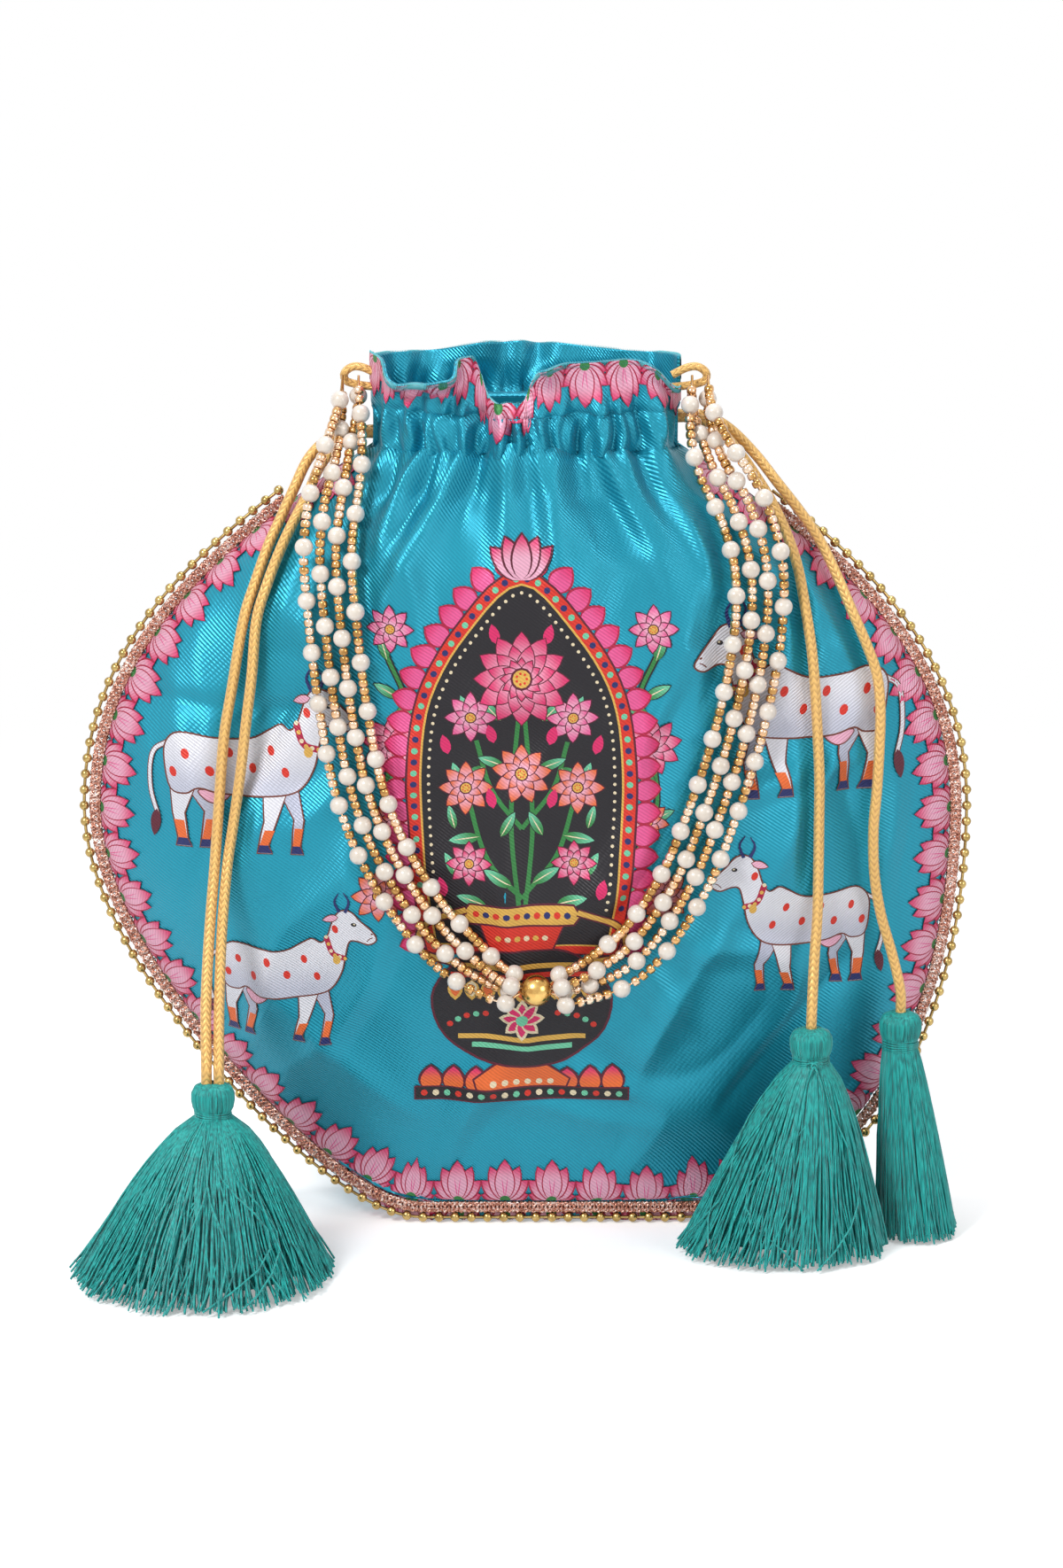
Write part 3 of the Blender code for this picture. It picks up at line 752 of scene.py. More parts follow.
@dataclass(frozen=True)
class Fold:
    """One gather of the cloth: a rounded ridge that runs from the neck and fades."""

    start: float
    slope: float
    reach: float
    width: float
    height: float
    bend: float

    def rise(self, x: float, below: float) -> float:
        """Height of the ridge at a place, at a distance below the neck."""
        if below >= self.reach:
            return 0.0
        share = below / self.reach
        middle = self.start + self.slope * below + self.bend * math.sin(math.pi * share)
        wide = self.width * (1 + 2.6 * share)
        steep = wide * (1.5 if x > middle else 0.75)
        return self.height * (1 - share) ** 1.2 * math.exp(-(((x - middle) / steep) ** 2))


@dataclass(frozen=True)
class Crease:
    """A crease of the body between two places (x, z), raised or pressed in."""

    start: tuple[float, float]
    end: tuple[float, float]
    width: float
    height: float

    def rise(self, x: float, z: float) -> float:
        """Height of the crease at a place."""
        ax, az = self.start
        bx, bz = self.end[0] - ax, self.end[1] - az
        share = ((x - ax) * bx + (z - az) * bz) / (bx * bx + bz * bz)
        if not -0.15 < share < 1.15:
            return 0.0
        away = (x - ax - share * bx) * bz - (z - az - share * bz) * bx
        away = away / math.hypot(bx, bz) - 2.0 * math.sin(3.1 * share)
        ends = smooth(-0.15, 0.2, share) * (1 - smooth(0.7, 1.15, share))
        near = abs(away) / (self.width * (1.8 if away > 0 else 1.0))
        return self.height * ends * math.exp(-(near**1.4))


CREASES: dict[int, tuple[Crease, ...]] = {
    -1: (
        Crease((-118.0, 156.0), (-62.0, 153.0), 1.8, -1.3),
        Crease((-54.0, 214.0), (-74.0, 172.0), 3.4, 2.2),
        Crease((-100.0, 178.0), (-88.0, 120.0), 5.0, 1.6),
        Crease((-62.0, 160.0), (-96.0, 92.0), 4.2, -1.5),
        Crease((-28.0, 150.0), (-48.0, 84.0), 4.5, 1.7),
        Crease((-6.0, 120.0), (2.0, 50.0), 3.6, 1.6),
        Crease((-74.0, 78.0), (-30.0, 34.0), 5.0, 1.8),
        Crease((-20.0, 48.0), (40.0, 30.0), 4.2, 1.5),
        Crease((30.0, 186.0), (70.0, 150.0), 4.6, 2.4),
        Crease((46.0, 214.0), (84.0, 176.0), 3.2, 2.0),
        Crease((104.0, 170.0), (66.0, 100.0), 5.2, 2.0),
        Crease((88.0, 140.0), (106.0, 74.0), 4.0, -1.6),
        Crease((58.0, 96.0), (28.0, 40.0), 4.8, 1.9),
        Crease((94.0, 82.0), (54.0, 34.0), 4.0, -1.5),
        Crease((20.0, 110.0), (46.0, 62.0), 3.4, 1.4),
    ),
    1: (
        Crease((-90.0, 170.0), (-40.0, 110.0), 5.0, 1.8),
        Crease((90.0, 176.0), (50.0, 110.0), 4.6, 1.8),
        Crease((-20.0, 180.0), (10.0, 90.0), 4.6, 1.6),
        Crease((30.0, 190.0), (60.0, 150.0), 3.6, 1.8),
        Crease((-100.0, 120.0), (-50.0, 100.0), 4.0, -1.4),
        Crease((100.0, 128.0), (60.0, 98.0), 4.0, 1.5),
    ),
}


@dataclass
class Cloth:
    """One cloth panel with its gathers, channel, frill and creases."""

    form: PouchForm
    facing: Facing
    seed: int
    column_count: int = 204
    body_rows: int = 136
    neck_rows: int = 20
    frill_rows: int = 24
    fold_count: int = 15
    fold_reaches: tuple[float, ...] = (22.0, 66.0, 34.0, 92.0, 46.0)
    table_step: float = 4.0
    table_steps: int = 32

    def __post_init__(self) -> None:
        """Choose the folds."""
        form, rng, count = self.form, random.Random(self.seed), self.fold_count
        self.folds: list[Fold] = []
        for i in range(count):
            place = mix(-0.94, 0.94, (i + rng.uniform(0.1, 0.9)) / count)
            start = place * form.neck_half_width
            reach = self.fold_reaches[i % 5] * rng.uniform(0.8, 1.2)
            tall = rng.uniform(2.6, 5.2) + reach * 0.03
            lean = place * rng.uniform(0.5, 0.95) + rng.gauss(0, 0.1)
            wide = rng.uniform(1.5, 3.0) + reach * 0.01
            self.folds.append(Fold(start, lean, reach, wide, tall, rng.uniform(-1.0, 1.0) * reach * 0.07))
        self.phases = [rng.uniform(0, math.tau) for _ in range(8)]
        self.fullness = [self.mean_ridge(self.table_step * k) for k in range(self.table_steps + 1)]
        self.cords: dict[tuple[int, int], list[tuple[float, float, float, float]]] = {}
        self.grid: list[list[Vector]] = []
        self.normals: list[list[Vector]] = []
        self.columns = [self.across(i / self.column_count * 2 - 1) for i in range(self.column_count + 1)]
        self.rows = self.body_rows + self.neck_rows + self.frill_rows

    @staticmethod
    def across(share: float) -> float:
        """Place of a column across the panel, closer together at the seams."""
        return mix(share, math.sin(share * math.pi / 2), 0.35)

    def tall(self, across: float) -> float:
        """Height of the frill at a place along the mouth."""
        return max(1.0, self.form.frill_top(across, self.facing) - self.form.channel_top)

    def height(self, row: float, across: float) -> float:
        """Height of a row of the panel's grid."""
        form = self.form
        if row <= self.body_rows:
            return mix(form.seam_bottom_z, form.neck_z, (row / self.body_rows) ** 1.15)
        if row <= self.body_rows + self.neck_rows:
            return mix(form.neck_z, form.channel_top, (row - self.body_rows) / self.neck_rows)
        share = (row - self.body_rows - self.neck_rows) / self.frill_rows
        return mix(form.channel_top, form.frill_top(across, self.facing), share)

    def mean_ridge(self, below: float) -> float:
        """Average height of the gathers across the panel, at a distance below the neck."""
        half = self.form.seam_x(1, round(self.form.neck_z - below, 3))
        spots = [half * (i / 20 - 1) for i in range(41)]
        return sum(fold.rise(x, below) for fold in self.folds for x in spots) / len(spots)

    def gathers(self, across: float, x: float, z: float) -> float:
        """Relief of the gathered neck, channel and frill."""
        form, p = self.form, self.phases
        if z <= form.neck_z:
            below = form.neck_z - z
            ridges = sum(fold.rise(x, below) for fold in self.folds)
            k = min(int(below / self.table_step), self.table_steps - 1)
            middle = mix(self.fullness[k], self.fullness[k + 1], min(1.0, below / self.table_step - k))
            return ridges - 1.25 * middle * smooth(0.0, 12.0, below) - 1.2 * math.exp(-((below / 8) ** 2))
        ridges = sum(fold.rise(x, 0.0) for fold in self.folds)
        pucker = math.sin(41 * across + p[0] + 2.4 * math.sin(5 * across + p[1]))
        pucker += 0.7 * math.sin(67 * across + p[2] + 1.8 * math.sin(z * 0.3 + 9 * across))
        in_channel = min(1.0, (z - form.neck_z) / form.channel)
        swell = math.sin(math.pi * in_channel)
        neck = mix(ridges - 1.2, 0.8 * ridges + 0.6 * pucker - 0.9, in_channel)
        neck -= 0.8 * math.exp(-(((z - form.channel_top) / 1.3) ** 2))
        rise = max(0.0, (z - form.channel_top) / form.frill)
        if rise <= 0:
            return neck + swell * (0.5 + 0.95 * pucker)
        wave = form.ruffle * rise * math.sin(math.pi * 2.5 * across + 0.7)
        wave += 1.6 * rise**0.6 * math.sin(19 * across + p[3] + 1.2 * math.sin(7 * across))
        wave += 0.5 * math.sin(33 * across + p[4]) * math.exp(-((rise * 2.2) ** 2))
        return mix(neck, wave, smooth(0.0, 0.7, rise))

    def creases(self, x: float, z: float) -> float:
        """Soft creases and crumples of the body."""
        p = self.phases
        broad = noise.noise(Vector((x * 0.019 + p[5], z * 0.014 + p[6], 0.3 * self.facing.value)))
        warp = 6.0 * noise.noise(Vector((x * 0.03, z * 0.03, p[4])))
        bend = abs(noise.noise(Vector(((x + warp) * 0.024 - z * 0.012 + p[7], z * 0.018 + x * 0.01, 4.1))))
        fine = noise.noise(Vector((x * 0.07 + z * 0.035, z * 0.05 - x * 0.02 + p[5], 9.7)))
        made = sum(crease.rise(x, z) for crease in CREASES[self.facing.value])
        return 3.4 * broad + 2.2 * max(0.0, 1 - 4.5 * bend) + 0.7 * fine + 1.6 * made

    def inner_point(self, across: float, z: float) -> Vector:
        """A point of the smooth inner face."""
        form, sign = self.form, self.facing.value
        side = -1 if across < 0 else 1
        depth = form.bellies[0 if sign < 0 else 1]
        section = form.lens(across, z)
        rise = max(0.0, z - form.channel_top) / form.frill
        out = (form.belly(z, depth) + form.frill_flare * rise) * section
        x = across * form.seam_x(side, round(z, 4))
        y = form.seam_y(z) + sign * max(form.slit_gap(z), out)
        if sign < 0 and rise > 0:
            share = (z - form.channel_top) / self.tall(across)
            forward, droop = form.frill_curl(across, share)
            y, z = y - forward, z - droop * share
        if sign > 0 and form.seam_bottom_z < z < form.base_free_z:
            sagged = mix(z, form.base_height(z), smooth(0.1, 0.6, section))
            seam = form.seam_z(side, round(abs(x), 4))
            z = max(sagged, form.cloth, seam - form.seam_bottom_z + form.cloth)
        return Vector((x, y, z))

    def relief(self, across: float, z: float, x: float) -> float:
        """All folds at one place, faded out at the seams."""
        form = self.form
        fade = max(0.0, 1 - abs(across) ** 7)
        body = smooth(form.seam_bottom_z, 40, z) * (1 - smooth(form.neck_z - 30, form.neck_z, z))
        return fade * (self.gathers(across, x, z) + body * self.creases(x, z))

    def lay_cord(self, line: "Line", radius: float) -> None:
        """Note a cord or strand that lies on the panel, so that no fold reaches through it."""
        for place in line.evenly(1.5).points:
            square = (int(place.x // 8), int(place.z // 8))
            self.cords.setdefault(square, []).append((place.x, place.z, place.y + radius + 0.3, radius))

    def dent(self, place: Vector) -> float:
        """How far the cloth gives way to the cords at a place."""
        found = 0.0
        i, j = int(place.x // 8), int(place.z // 8)
        for square in ((i + a, j + b) for a in (-1, 0, 1) for b in (-1, 0, 1)):
            for x, z, limit, radius in self.cords.get(square, ()):
                if place.y < limit:
                    away = math.hypot(place.x - x, place.z - z)
                    found = max(found, (limit - place.y) * (1 - smooth(radius + 0.8, radius + 5.0, away)))
        return found

    def build(self, name: str, finish: Finish, *nodes: str) -> bpy.types.Object:
        """Make the panel.

        Args:
            name: of the piece.
            finish: its satin.
            nodes: the CAD nodes that it stands for.

        Returns:
            The panel, with its wall as a Solidify modifier.
        """
        columns, rows = self.column_count, self.rows
        bm = bmesh.new()
        bmesh.ops.create_grid(bm, x_segments=columns, y_segments=rows, size=1.0)
        uv = bm.loops.layers.uv.new("weave")
        places: dict[int, tuple[int, int]] = {}
        sheet: dict[tuple[int, int], bmesh.types.BMVert] = {}
        flat: dict[int, tuple[float, float]] = {}
        for vert in bm.verts:
            i, j = round((vert.co.x + 1) / 2 * columns), round((vert.co.y + 1) / 2 * rows)
            places[vert.index], sheet[i, j] = (i, j), vert
            across = self.columns[i]
            z = self.height(j, across)
            vert.co = self.inner_point(across, z)
            half = vert.co.x / across if across else 0.0
            flat[vert.index] = (across * mix(self.form.half_width, half, 0.6), z)
        bm.normal_update()
        if sum(face.normal.y * face.calc_area() for face in bm.faces) * self.facing.value < 0:
            bmesh.ops.reverse_faces(bm, faces=bm.faces)
            bm.normal_update()
        moves = {}
        for vert in bm.verts:
            i, j = places[vert.index]
            across = self.columns[i]
            z = self.height(j, across)
            lift = self.form.cloth + self.relief(across, z, vert.co.x)
            if self.facing is Facing.BACK and z < self.form.base_free_z:
                lift = mix(self.form.cloth, lift, smooth(1.0, 12.0, vert.co.z))
            moves[vert.index] = vert.normal * lift
        for vert in bm.verts:
            vert.co += moves[vert.index]
            vert.co.z = max(vert.co.z, 0.32)
        bmesh.ops.smooth_vert(bm, verts=[v for v in bm.verts if not v.is_boundary], factor=0.25)
        for vert in bm.verts:
            if vert.co.z < self.form.neck_z:
                vert.co.y += self.dent(vert.co)
        bm.normal_update()
        for face in bm.faces:
            for loop in face.loops:
                loop[uv].uv = flat[loop.vert.index]
        self.grid = [[sheet[i, j].co.copy() for i in range(columns + 1)] for j in range(rows + 1)]
        self.normals = [[sheet[i, j].normal.copy() for i in range(columns + 1)] for j in range(rows + 1)]
        panel = mesh_object(name, bm, [finish], 80)
        wall = panel.modifiers.new("wall", "SOLIDIFY")
        wall.thickness, wall.offset = self.form.cloth * MM, -1.0
        self.area = sum(face.area for face in panel.data.polygons)
        ride(panel, Body.BAG, Slot.SATIN, *nodes)
        log.info("%s: %d faces", name, len(panel.data.polygons))
        return panel

    def overlock(self, name: str, finish: Finish) -> bpy.types.Object:
        """Close zigzag stitches over the frill's free edge."""
        edge = Line([a + n * 0.1 for a, n in zip(self.grid[-1], self.normals[-1])])
        stitches = []
        count = int(edge.length / 0.42)
        for k in range(count * 2):
            spot = edge.at(edge.length * k / (2 * count))
            stitches.append(spot + Vector((0.0, 0.0, 0.35 if k % 2 else -1.3)))
        made = yarns(name, [stitches], 0.17, finish)
        return ride(made, Body.BAG, Slot.SATIN)

    def channel_hem(self, name: str, finish: Finish, ring: tuple[float, float]) -> bpy.types.Object:
        """Turned-in cloth that closes the top of the drawstring channel.

        Args:
            name: of the piece.
            finish: its satin.
            ring: half the length and half the depth of the channel's inner band.

        Returns:
            The hem, from the middle of the panel's wall to the inner band.
        """
        top = self.body_rows + self.neck_rows
        bm = bmesh.new()
        bmesh.ops.create_grid(bm, x_segments=self.column_count, y_segments=3, size=1.0)
        uv = bm.loops.layers.uv.new("weave")
        for vert in bm.verts:
            i, share = round((vert.co.x + 1) / 2 * self.column_count), (vert.co.y + 1) / 2
            across = self.columns[i]
            outer = self.grid[top][i] - self.normals[top][i] * self.form.cloth / 2
            depth = self.facing.value * ring[1] * math.sqrt(max(0.0, 1 - across * across))
            inner = Vector((across * ring[0], depth, self.form.channel_top + 0.25))
            vert.co = outer.lerp(inner, share)
            vert.co.z += 0.5 * math.sin(math.pi * share)
        for face in bm.faces:
            for loop in face.loops:
                loop[uv].uv = loop.vert.co.xy
        bm.normal_update()
        if sum(face.normal.z for face in bm.faces) < 0:
            bmesh.ops.reverse_faces(bm, faces=bm.faces)
        hem = mesh_object(name, bm, [finish], 60)
        wall = hem.modifiers.new("wall", "SOLIDIFY")
        wall.thickness, wall.offset = 0.5 * MM, 0.0
        return ride(hem, Body.BAG, Slot.SATIN)

    def row_of(self, z: float) -> float:
        """The body's or channel's row at a height."""
        form = self.form
        if z <= form.neck_z:
            share = max(0.0, z - form.seam_bottom_z) / (form.neck_z - form.seam_bottom_z)
            return self.body_rows * share ** (1 / 1.15)
        return self.body_rows + self.neck_rows * (z - form.neck_z) / form.channel

    def on_surface(self, across: float, row: float, lift: float) -> Vector:
        """A point a little outside the finished cloth.

        Args:
            across: from -1 at the left seam to 1 at the right one.
            row: of the panel's grid.
            lift: distance from the cloth in millimetres.

        Returns:
            The point in millimetres.
        """
        across = min(max(across, -0.9999), 0.9999)
        row = min(max(row, 0.0), self.rows - 1e-4)
        i = min(max(bisect_right(self.columns, across) - 1, 0), self.column_count - 1)
        u = (across - self.columns[i]) / (self.columns[i + 1] - self.columns[i])
        j = int(row)
        v = row - j

        def read(grid: list[list[Vector]]) -> Vector:
            """A value between four corners of the grid."""
            low = grid[j][i].lerp(grid[j][i + 1], u)
            return low.lerp(grid[j + 1][i].lerp(grid[j + 1][i + 1], u), v)

        return read(self.grid) + read(self.normals).normalized() * lift

    def seen_from_front(self, x: float, z: float, lift: float) -> Vector:
        """A point on the cloth at a place in the panel's plane."""
        side = -1 if x < 0 else 1
        limit = self.form.seam_x(side, round(z, 3))
        return self.on_surface(x / limit, self.row_of(z), lift)


def inside(outline: Outline, spot: Sequence[float]) -> bool:
    """Whether a place lies inside an outline."""
    x, y = spot
    crossed = False
    for (ax, ay), (bx, by) in zip(outline, outline[1:] + outline[:1]):
        if (ay > y) != (by > y) and x < ax + (y - ay) * (bx - ax) / (by - ay):
            crossed = not crossed
    return crossed


@dataclass
class Motif:
    """A flat printed figure of coloured shapes, which ends as one layer of crisp facets."""

    cell: float = 1.6
    bucket: float = 2.0
    shapes: "list[tuple[Outline, Colour | Callable[[float, float], Colour]]]" = field(default_factory=list)

    def shape(self, outline: Outline, colour: "Colour | Callable[[float, float], Colour]") -> None:
        """Add one filled shape on top of the others.

        Args:
            outline: its corners.
            colour: one colour, or a function of a place that gives it.
        """
        self.shapes.append((outline, colour))

    def outlined(self, outline: Outline, colour: object, edge: Colour, width: float = 0.35) -> None:
        """Add a shape with a drawn outline of a given width."""
        self.shape(grown(outline, width / 2), edge)
        self.shape(grown(outline, -width / 2), colour)

    def stroke(self, points: Outline, width: float, colour: Colour, taper: float = 0.0) -> None:
        """Add a drawn line through points, thinner at its end by a share taper."""
        line = Line([Vector((x, y, 0.0)) for x, y in points])
        left, right = [], []
        count = max(2, math.ceil(line.length / 1.2))
        for i in range(count + 1):
            d = line.length * i / count
            ahead = line.tangent(d, 0.3)
            half = width / 2 * (1 - taper * i / count)
            aside = Vector((-ahead.y, ahead.x, 0.0)) * half
            here = line.at(d)
            left.append(tuple((here + aside)[:2]))
            right.append(tuple((here - aside)[:2]))
        self.shape(left + right[::-1], colour)

    def buckets(self) -> dict[tuple[int, int], list[int]]:
        """Numbers of the shapes that may reach into each small square of the figure."""
        found: dict[tuple[int, int], list[int]] = {}
        for number, (outline, _) in enumerate(self.shapes):
            spans = []
            for values in zip(*outline):
                spans.append(range(int(min(values) // self.bucket), int(max(values) // self.bucket) + 1))
            for i in spans[0]:
                for j in spans[1]:
                    found.setdefault((i, j), []).append(number)
        return found

    def mesh(self) -> bpy.types.Mesh:
        """The figure as a flat mesh, in which the topmost shape gives each facet its colour."""
        spots: list[Vector] = []
        edges: list[tuple[int, int]] = []
        for outline, _ in self.shapes:
            first, count = len(spots), len(outline)
            edges += [(first + i, first + (i + 1) % count) for i in range(count)]
            spots += [Vector(p) for p in outline]
        lows = [min(p[k] for p in spots) - 0.5 for k in range(2)]
        highs = [max(p[k] for p in spots) + 0.5 for k in range(2)]
        for axis in (0, 1):
            count = math.ceil((highs[axis] - lows[axis]) / self.cell)
            for i in range(1, count):
                level = mix(lows[axis], highs[axis], i / count)
                for other in (lows[1 - axis], highs[1 - axis]):
                    spots.append(Vector((level, other) if axis == 0 else (other, level)))
                edges.append((len(spots) - 2, len(spots) - 1))
        made = delaunay_2d_cdt(spots, edges, [], 0, 1e-4, False)
        bm = bmesh.new()
        ink = bm.loops.layers.float_color.new("ink")
        verts = [bm.verts.new((p.x, p.y, 0.0)) for p in made[0]]
        buckets = self.buckets()
        for corners in made[2]:
            middle = sum((made[0][i] for i in corners), Vector((0.0, 0.0))) / 3
            near = buckets.get((int(middle.x // self.bucket), int(middle.y // self.bucket)), ())
            top = next((k for k in reversed(near) if inside(self.shapes[k][0], middle)), None)
            if top is None:
                continue
            colour = self.shapes[top][1]
            for loop in bm.faces.new([verts[i] for i in corners]).loops:
                tint = colour(loop.vert.co.x, loop.vert.co.y) if callable(colour) else colour
                loop[ink] = (*tint, 1.0)
        bmesh.ops.delete(bm, geom=[v for v in bm.verts if not v.link_faces], context="VERTS")
        bm.normal_update()
        if sum(face.normal.z for face in bm.faces) < 0:
            bmesh.ops.reverse_faces(bm, faces=bm.faces)
        figure = bpy.data.meshes.new("motif")
        bm.to_mesh(figure)
        bm.free()
        return figure


def grown(outline: Outline, by: float) -> Outline:
    """An outline moved outward by a distance, or inward by a negative one."""
    area = sum(a[0] * b[1] - b[0] * a[1] for a, b in zip(outline, outline[1:] + outline[:1]))
    sign = 1 if area > 0 else -1
    found = []
    count = len(outline)
    for i in range(count):
        before, here, after = (Vector(outline[(i + k) % count]) for k in (-1, 0, 1))
        along = ((here - before).normalized() + (after - here).normalized())
        if along.length < 1e-6:
            along = after - here
        along.normalize()
        out = Vector((along.y, -along.x)) * sign
        found.append(tuple(here + out * by))
    return found


def rounded(points: Outline, per_span: int = 4) -> Outline:
    """A closed smooth outline through a few points."""
    ring = [Vector((x, y, 0.0)) for x, y in points]
    line = []
    count = len(ring)
    for i in range(count):
        a, b, c, d = (ring[(i + k) % count] for k in (-1, 0, 1, 2))
        for step in range(per_span):
            t = step / per_span
            cubic = (3 * b - a - 3 * c + d) * t**3
            square = (2 * a - 5 * b + 4 * c - d) * t**2
            line.append(((2 * b + (c - a) * t + square + cubic) / 2)[:2])
    return [tuple(p) for p in line]


def curve_line(points: Outline, per_span: int = 5) -> Outline:
    """An open smooth line through a few points."""
    return [tuple(p[:2]) for p in smooth_line([(x, y, 0.0) for x, y in points], per_span)]


def ellipse(x: float, y: float, rx: float, ry: float, turn: float = 0.0, count: int = 12) -> Outline:
    """An ellipse's outline, turned by an angle in degrees."""
    c, s = math.cos(math.radians(turn)), math.sin(math.radians(turn))
    found = []
    for i in range(count):
        a = math.tau * i / count
        u, v = rx * math.cos(a), ry * math.sin(a)
        found.append((x + u * c - v * s, y + u * s + v * c))
    return found


def petal(x: float, y: float, turn: float, length: float, width: float, count: int = 0) -> Outline:
    """A petal's outline from its base, pointing up when turn is 0 degrees."""
    count = count or (5 if length < 7 else 7)
    c, s = math.cos(math.radians(turn)), math.sin(math.radians(turn))
    right, left = [], []
    for i in range(count + 1):
        t = i / count
        half = width / 2 * math.sin(math.pi * t**0.85) ** 0.75 if 0 < i < count else 0.0
        along = length * t
        right.append((x + half * c - along * s, y + half * s + along * c))
        if 0 < i < count:
            left.append((x - half * c - along * s, y - half * s + along * c))
    return right + left[::-1]


def shaded(
    x: float, y: float, turn: float, length: float, base: Colour, tip: Colour, start: float = 0.45
) -> Callable[[float, float], Colour]:
    """A colour that runs from a petal's base to its tip."""
    c, s = math.cos(math.radians(turn)), math.sin(math.radians(turn))

    def colour(px: float, py: float) -> Colour:
        """The colour at a place."""
        along = (-(px - x) * s + (py - y) * c) / length
        share = smooth(start, 1.0, along)
        return tuple(mix(a, b, share) for a, b in zip(base, tip))

    return colour


@dataclass(frozen=True)
class Inks:
    """Colours of the print, linear."""

    pale: Colour = (0.82, 0.42, 0.56)
    pink: Colour = (0.78, 0.10, 0.30)
    hot: Colour = (0.70, 0.02, 0.14)
    crimson: Colour = (0.42, 0.006, 0.05)
    maroon: Colour = (0.10, 0.004, 0.02)
    orange: Colour = (0.80, 0.15, 0.03)
    gold: Colour = (0.72, 0.42, 0.08)
    cream: Colour = (0.80, 0.68, 0.46)
    leaf: Colour = (0.03, 0.22, 0.05)
    mint: Colour = (0.16, 0.58, 0.36)
    navy: Colour = (0.012, 0.02, 0.13)
    black: Colour = (0.008, 0.006, 0.01)
    milk: Colour = (0.74, 0.74, 0.80)
    shade: Colour = (0.48, 0.50, 0.62)
    vermilion: Colour = (0.68, 0.03, 0.015)
    brown: Colour = (0.16, 0.035, 0.02)


